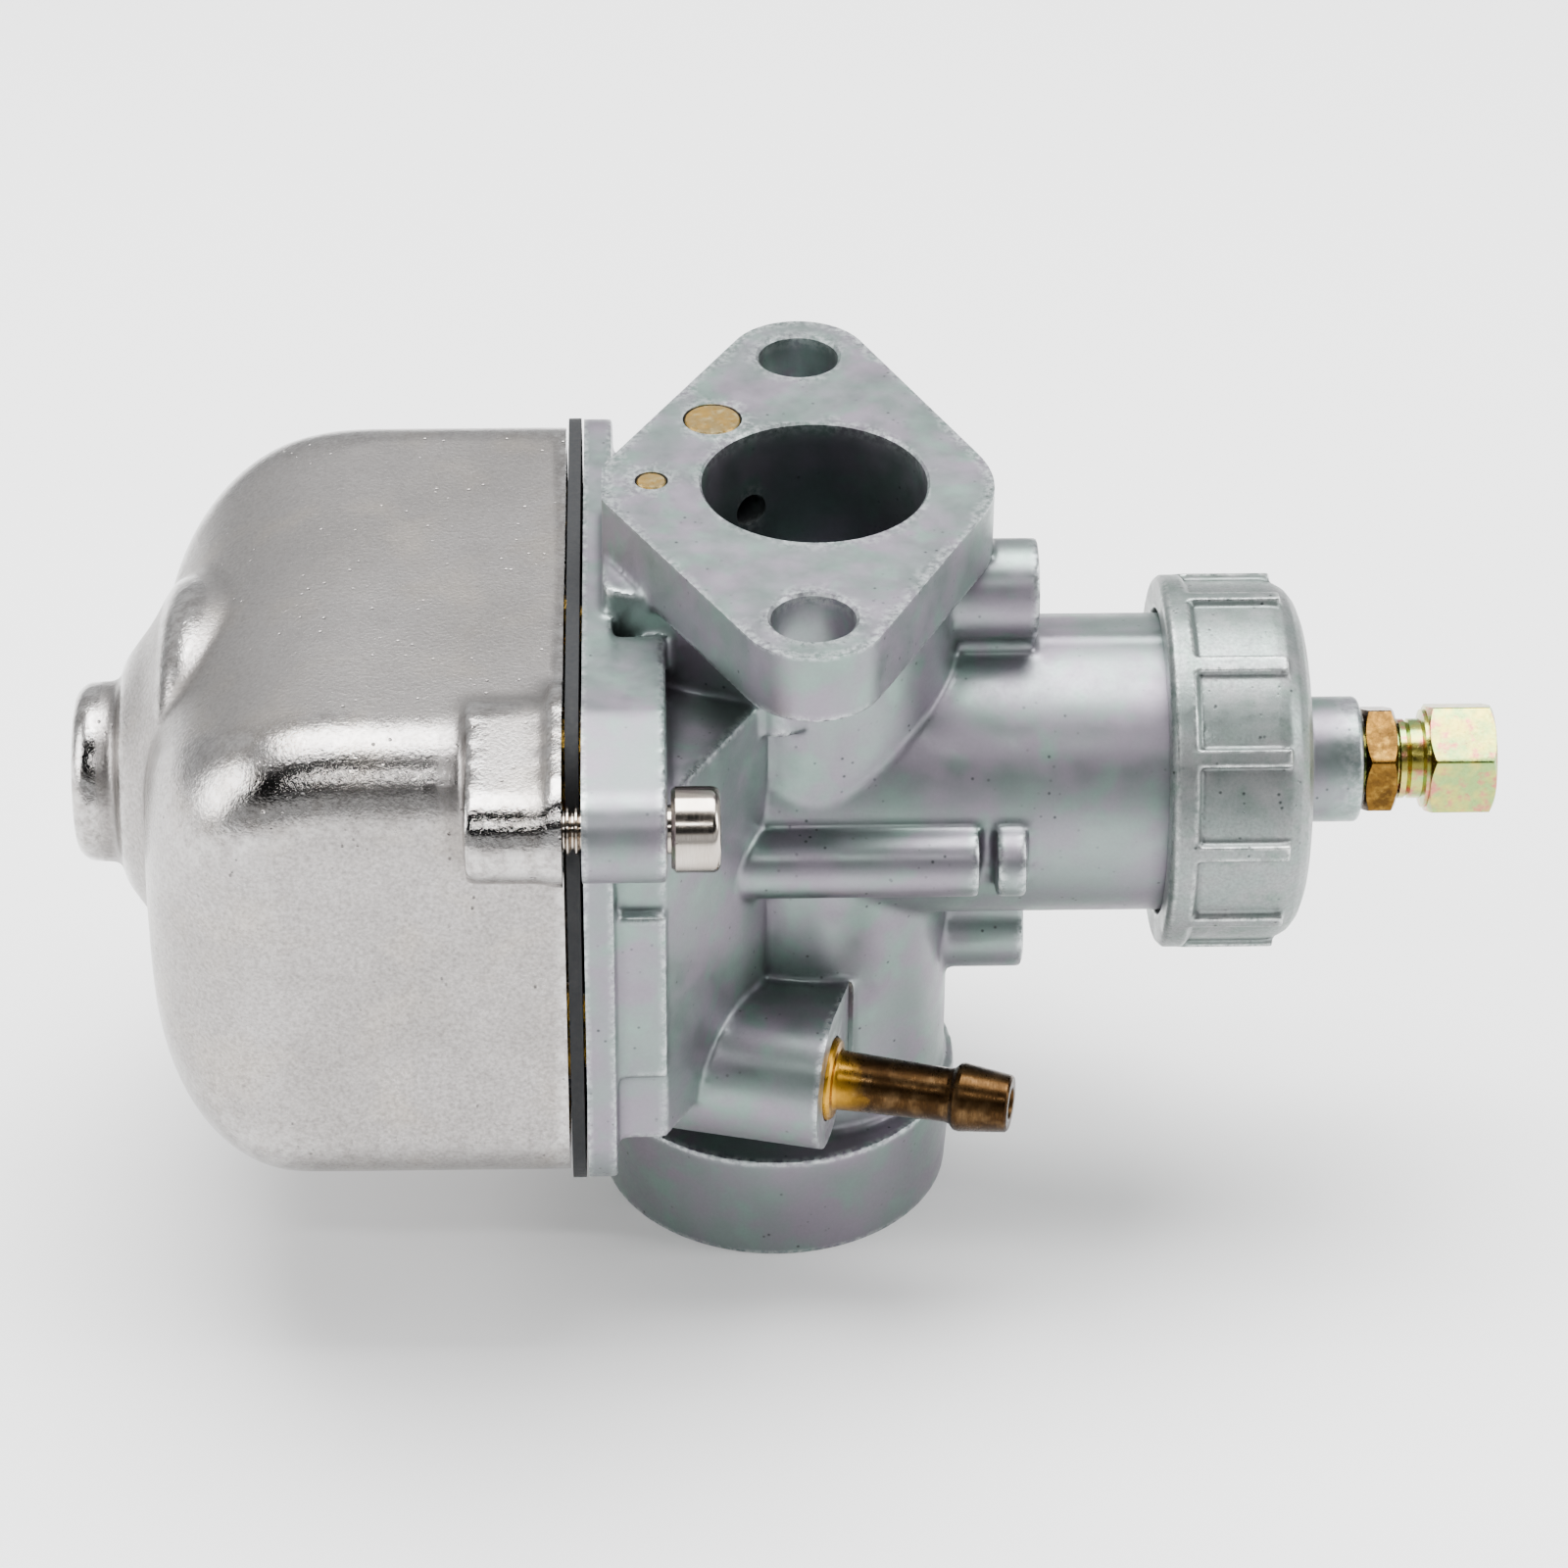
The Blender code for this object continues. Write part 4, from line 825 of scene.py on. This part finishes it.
def capScrew(name, y, z):
    s = screwShape
    profile = [(s["end"], 0), (s["end"], 1.5)]
    station = s["end"] + 0.3
    while station < -15.4:  # the thread is drawn as closed grooves, one pitch apart
        root = s["thread"] - 0.42
        profile += [(station, root), (station + 0.12, root)]
        profile += [(station + 0.3, s["thread"]), (station + 0.42, s["thread"])]
        station += s["pitch"]
    profile += [(-15, s["thread"]), (s["head"], s["thread"]), (s["head"], s["headRadius"] - 0.35),
                (s["head"] + 0.35, s["headRadius"]), (s["head"] + s["headLength"] - 0.7, s["headRadius"])]
    top = s["head"] + s["headLength"]
    edge = s["headEdge"]
    for a in (math.radians(degrees) for degrees in (18, 36, 54, 72, 90)):
        profile.append((top - edge + edge * math.sin(a), s["headRadius"] - edge + edge * math.cos(a)))
    profile.append((top, 0))
    screw = lathe("capScrew" + name, inMetres(profile), alongX((0, y, z)), 96)
    corner = s["socket"] / math.sqrt(3) * mm
    hexagon = arc((0, 0), corner, 0, 300, 5)
    socket = slab("socket", hexagon, (top - 2) * mm, (top + 1) * mm, alongX((0, y, z)))
    return shaded(machined(screw, [socket]), 28)


for name, y, z, side in screwPlaces:
    node = f"bowl_screw_{name}"
    dress(capScrew(name.capitalize(), y, z), nickelPlate, node, [node])
print("gasket and screws done")


# union ring and cover

ringShape = {
    "ribs": 12, "ribTurn": -5, "ribWidth": 1.5, "ribFrom": 36.0, "ribTo": 42.6, "grid": 0.2,
    "softening": 5,
}


def unionRing():
    r = ringShape
    profile = [
        (33.1, 13.4), (33.1, 15.8), (33.6, 16.3), (35.2, 16.3), (35.5, 16.0), (35.6, 15.55),
        (36.0, 15.7), (42.4, 15.7), (43.4, 15.5), (44.3, 15.0), (45.0, 14.1), (45.5, 12.8),
        (45.7, 11.2), (45.7, 8.3), (43.6, 8.3), (43.6, 13.4),
    ]
    ring = lathe("unionRing", inMetres(profile), slideAxis, 240, closed=True)
    parts = [ring]
    for i in range(r["ribs"]):
        angle = math.radians(360 / r["ribs"] * i + r["ribTurn"])
        turn = Matrix.Translation((0, 0, slideZ)) @ Matrix.Rotation(angle, 4, "X")
        half = r["ribWidth"] / 2 * mm
        low = (r["ribFrom"] * mm - 0.8 * mm, -half, 14.8 * mm)
        high = (r["ribTo"] * mm + 0.7 * mm, half, 16.35 * mm)
        parts.append(box(f"rib{i}", low, high, turn))
    return shaded(cast("unionRing", parts, r["grid"] * mm, r["softening"]))


ring = markEdges(unionRing(), 2)
dress(ring, scuffedZinc, "cap_ring", ["cap_ring"])
print("union ring", len(ring.data.vertices))

coverProfile = [
    (41.1, 3.3), (41.1, 13), (43.3, 13), (43.3, 7.9), (46.1, 7.9), (46.1, 5.5), (50.9, 5.5),
    (50.9, 3.3),
]
cover = lathe("capCover", inMetres(coverProfile), slideAxis, 128, 0.5 * mm, True)
dress(markEdges(shaded(cover)), castZinc, "body", ["cap_cover"])


# adjuster and lock nut

def hexPiece(name, flats, start, end, bore):
    # turned blank with chamfered ends, then milled to a hexagon
    large = flats / math.sqrt(3) + 0.25
    small = large - 1.7 * 0.6
    profile = [
        (start, bore), (start, small), (start + 0.6, large), (end - 0.6, large), (end, small),
        (end, bore),
    ]
    place = slideAxis
    blank = lathe(name, inMetres(profile), place, 128, closed=True)
    outline = roundCorners(arc((0, 0), flats / math.sqrt(3) * mm, 0, 300, 5), 0.3 * mm, 4)
    prism = slab("flats", outline, (start - 1) * mm, (end + 1) * mm, place)
    return machined(blank, [prism], keep=True)


nut = shaded(hexPiece("lockNut", 8.8, 51.2, 54, 3.2), 28)
dress(nut, bronzeZinc, "lock_nut", ["lock_nut"])


def cableAdjuster():
    head = hexPiece("cableAdjuster", 9.2, 56.8, 62.6, 2.8)
    profile = [(44.5, 1.2), (44.5, 2.5), (44.9, 2.9)]
    station = 45.1
    while station < 50:  # thread, closed grooves at 0.8 mm pitch
        profile += [(station, 2.55), (station + 0.15, 2.55), (station + 0.35, 2.9), (station + 0.5, 2.9)]
        station += 0.8
    profile += [
        (54.3, 2.9), (54.4, 3.5), (54.9, 3.5), (55.1, 3.25), (55.3, 3.5), (56.3, 3.5), (56.5, 4.3),
        (57.6, 4.3), (57.6, 1.2),
    ]
    stem = lathe("stem", inMetres(profile), slideAxis, 96, closed=True)
    return shaded(unite([head, stem]), 28)


dress(cableAdjuster(), yellowZinc, "cable_adjuster", ["cable_adjuster"])


# fuel nipple and plugs

nippleProfile = [
    (-5.7, 1.3), (-5.7, 3.6), (0.25, 3.6), (0.5, 3.35), (0.6, 2.75), (0.9, 2.6), (4, 2.5),
    (10.3, 2.35), (10.7, 2.45), (11.1, 2.9), (11.5, 3.0), (15.6, 2.5), (15.8, 2.3), (15.8, 1.45),
    (15.5, 1.3),
]
nipple = lathe("fuelNipple", inMetres(nippleProfile), fuelPlace(), 96, 0.12 * mm, True)
dress(shaded(nipple, 40), tarnishedBrass, "body", ["fuel_nipple"])

for name, x, y, radius in (("Large", -5.4, 10.3, 2.4), ("Small", -10.7, 0.3, 1.25)):
    profile = [(68.5 * mm, 0), (68.5 * mm, radius * mm), (flangeTop - 0.12 * mm, radius * mm),
               (flangeTop, (radius - 0.12) * mm), (flangeTop, 0)]
    plug = lathe("flangePlug" + name, profile, alongZ((x * mm, y * mm, 0)), 64)
    dress(shaded(plug), plugBrass, "body", ["flange_plug_" + name.lower()])
print("brass and hexagons done")


# throttle slide, springs and the far side's pieces

def throttleSlide():
    profile = [(-4.9, 1.6), (-4.9, 10.2), (22, 10.2), (22, 9), (0.4, 9), (0.4, 1.6)]
    slide = lathe("throttleSlide", inMetres(profile), slideAxis, 128, closed=True)
    tilt = Matrix.Translation((-6.1 * mm, 0, slideZ - 6 * mm)) @ Matrix.Rotation(math.radians(-12), 4, "Y")
    machined(slide, [box("cutaway", (-3 * mm, -12 * mm, -9 * mm), (3.4 * mm, 12 * mm, 4 * mm), tilt)])
    slotLow, slotHigh = (-6 * mm, 4 * mm, slideZ - 1 * mm), (24 * mm, 12 * mm, slideZ + 1 * mm)
    machined(slide, [box("cableSlot", slotLow, slotHigh)])
    return shaded(slide)


dress(throttleSlide(), groundSlide, "throttle", ["throttle_slide"])


def spring(name, radius, wire, start, end, turns, place):
    steps = int(turns * 40)
    centres = []
    for i in range(steps + 1):
        share = i / steps
        rise = min(max((share * turns - 0.75) / (turns - 1.5), 0), 1)  # the end turns lie flat
        angle = 2 * math.pi * turns * share
        begun = min(share * turns, 0.75) / 0.75
        closing = max(share * turns - turns + 0.75, 0) / 0.75
        flat = wire * 2.05 * begun + wire * 2.05 * closing
        height = start + wire + (end - start - 6.1 * wire) * rise + flat
        centres.append(Vector((radius * math.cos(angle), radius * math.sin(angle), height)))
    bm = bmesh.new()
    rings = []
    for i, centre in enumerate(centres):
        ahead = (centres[min(i + 1, steps)] - centres[max(i - 1, 0)]).normalized()
        out = Vector((centre.x, centre.y, 0)).normalized()
        up = ahead.cross(out).normalized()
        section = arc((0, 0), 1, 0, 330, 11)
        rings.append([bm.verts.new(centre + wire * (out * x + up * y)) for x, y in section])
    for first, second in zip(rings, rings[1:]):
        for i in range(12):
            k = (i + 1) % 12
            bm.faces.new((first[i], first[k], second[k], second[i]))
    bm.faces.new(rings[0])
    bm.faces.new(rings[-1][::-1])
    return shaded(meshOf(bm, name, place), 50)


throttleSpring = spring("throttleSpring", 7.6 * mm, 0.55 * mm, 2.7 * mm, 40.8 * mm, 9, slideAxis)
dress(throttleSpring, springSteel, "body", ["throttle_spring"])
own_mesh(throttleSpring)

starterAxis = (0, 19.5 * mm, slideZ - 10 * mm)
starterSpring = spring("starterSpring", 3 * mm, 0.4 * mm, 2.3 * mm, 14.4 * mm, 5, alongX(starterAxis))
dress(starterSpring, springSteel, "body", ["starter_spring"])
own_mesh(starterSpring)

starterProfile = [(15.3, 1.3), (15.3, 6.4), (18.6, 6.4), (19.2, 5.8), (19.2, 3.4), (24.4, 3.4), (24.4, 1.3)]
starterCap = lathe("starterCap", inMetres(starterProfile), alongX(starterAxis), 96, 0.35 * mm, True)
dress(markEdges(shaded(starterCap)), castZinc, "body", ["starter_cap"])

farScrews = {
    "throttle_stop_screw": {"x": 13, "z": 1, "tip": 10.9, "seat": 18, "shank": 2.0, "body": "stop_screw"},
    "mixture_screw": {"x": 6, "z": -22, "tip": 9.9, "seat": 17, "shank": 1.7, "body": "mixture_screw"},
}


def slottedScrew(node, s):
    head = s["seat"] + 3.6
    x, z = s["x"] * mm, slideZ + s["z"] * mm
    profile = [(s["tip"], 0), (s["tip"], 0.6), (s["tip"] + 2, s["shank"]), (head, s["shank"]), (head, 3.4),
               (head + 2.8, 3.4), (head + 2.8, 0)]
    screw = lathe(node.title().replace("_", ""), inMetres(profile), alongY((x, 0, z)), 96, 0.2 * mm)
    slotLow = (x - 4 * mm, (head + 1.6) * mm, z - 0.5 * mm)
    slot = box("slot", slotLow, (x + 4 * mm, (head + 4) * mm, z + 0.5 * mm))
    dress(shaded(machined(screw, [slot])), turnedBrass, s["body"], [node])
    coil = spring(node.title().replace("_", "") + "Spring", 2.75 * mm, 0.3 * mm, (s["seat"] + 0.25) * mm,
                  (head - 0.25) * mm, 3.5, alongY((x, 0, z)))
    dress(coil, springSteel, "body", [node + "_spring"])


for node, values in farScrews.items():
    slottedScrew(node, values)

insideFinishes = {
    "starter_plunger": turnedBrass, "jet_needle": springSteel, "needle_clip": springSteel,
    "spring_plate": springSteel,
    "float": floatNylon, "float_pin": springSteel, "float_needle": springSteel, "needle_seat": turnedBrass,
    "jet_stock": turnedBrass, "main_jet": turnedBrass, "idle_jet": turnedBrass, "starter_jet": turnedBrass,
}
for node, material in insideFinishes.items():
    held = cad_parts[node]
    held.data.materials.clear()
    held.data.materials.append(material)
print("inside pieces dressed")


# floor, light and camera

def studioFloor():
    size = 3.0
    bm = bmesh.new()
    bmesh.ops.create_grid(bm, x_segments=1, y_segments=1, size=size)
    floor = meshOf(bm, "floor")
    floor.location.z = -0.05 * mm
    material, tree, shader = newFinish("matteWhitePaper", {"Roughness": 0.85, "IOR": 1.45})
    coords = addNode(tree, "TexCoord").outputs["Object"]
    tone = ramp(tree, noiseAt(tree, coords, 300, 2), 0.3, 0.7)
    tree.links.new(blend(tree, tone, "#F4F4F4", "#F8F8F8"), shader.inputs["Base Color"])
    floor.data.materials.append(material)


def softbox(name, place, aim, size, power, colour="#FFFFFF"):
    lamp = bpy.data.lights.new(name, "AREA")
    lamp.shape = "RECTANGLE"
    lamp.size, lamp.size_y = size
    lamp.energy = power
    lamp.color = linear(colour)[:3]
    holder = bpy.data.objects.new(name, lamp)
    holder.location = place
    holder.rotation_euler = (Vector(aim) - Vector(place)).to_track_quat("-Z", "Y").to_euler()
    bpy.context.scene.collection.objects.link(holder)


def studioWorld():
    # a bright tent, open and dark above the camera's side so that curved metal gets dark bands
    world = bpy.data.worlds.new("studio")
    bpy.context.scene.world = world
    world.use_nodes = True
    tree = world.node_tree
    coords = addNode(tree, "TexCoord").outputs["Generated"]
    split = addNode(tree, "SeparateXYZ", links={"Vector": coords})
    tone = blend(tree, ramp(tree, split.outputs["Z"], -0.05, 0.5), "#C9CCCE", "#F2F3F4")
    front = ramp(tree, split.outputs["Y"], -0.08, -0.28)
    high = ramp(tree, split.outputs["Z"], 0.3, 0.42)
    tone = blend(tree, times(tree, front, high), tone, "#17181A")
    low = ramp(tree, split.outputs["Z"], 0.14, 0.02)
    side = ramp(tree, split.outputs["Y"], 0.35, -0.1)
    tone = blend(tree, times(tree, times(tree, low, side), 0.25), tone, "#3A3C3E")
    background = tree.nodes["Background"]
    tree.links.new(tone, background.inputs["Color"])
    background.inputs["Strength"].default_value = 1.2


def photoCamera():
    view = {
        "aim": (0.651, -0.925, 41.064), "distance": 445.83, "azimuth": -1.8314, "elevation": 34.8795,
        "roll": 0.4656, "lens": 117,
    }
    a, e = math.radians(view["azimuth"]), math.radians(view["elevation"])
    back = Vector((math.sin(a) * math.cos(e), -math.cos(a) * math.cos(e), math.sin(e)))
    right = Vector((math.cos(a), math.sin(a), 0))
    up = back.cross(right)
    roll = Matrix.Rotation(math.radians(view["roll"]), 4, "Z")
    basis = Matrix((right, up, back)).transposed().to_4x4() @ roll
    camera = bpy.data.cameras.new("camera")
    camera.lens = view["lens"]
    camera.sensor_width = 36
    camera.clip_start = 0.01
    holder = bpy.data.objects.new("camera", camera)
    holder.matrix_world = Matrix.Translation((Vector(view["aim"]) + back * view["distance"]) * mm) @ basis
    bpy.context.scene.collection.objects.link(holder)
    bpy.context.scene.camera = holder


studioFloor()
studioWorld()
softbox("topBox", (0.0, 0.12, 0.6), (0, 0, 0.03), (0.6, 0.4), 12)
softbox("leftBox", (-0.55, -0.05, 0.25), (0, 0, 0.04), (0.3, 0.35), 3)
softbox("rightBox", (0.5, -0.1, 0.3), (0, 0, 0.04), (0.2, 0.35), 2)
softbox("frontStrip", (-0.05, -0.4, 0.5), (0, 0, 0.04), (0.3, 0.025), 0.7)
photoCamera()
print("stage set")
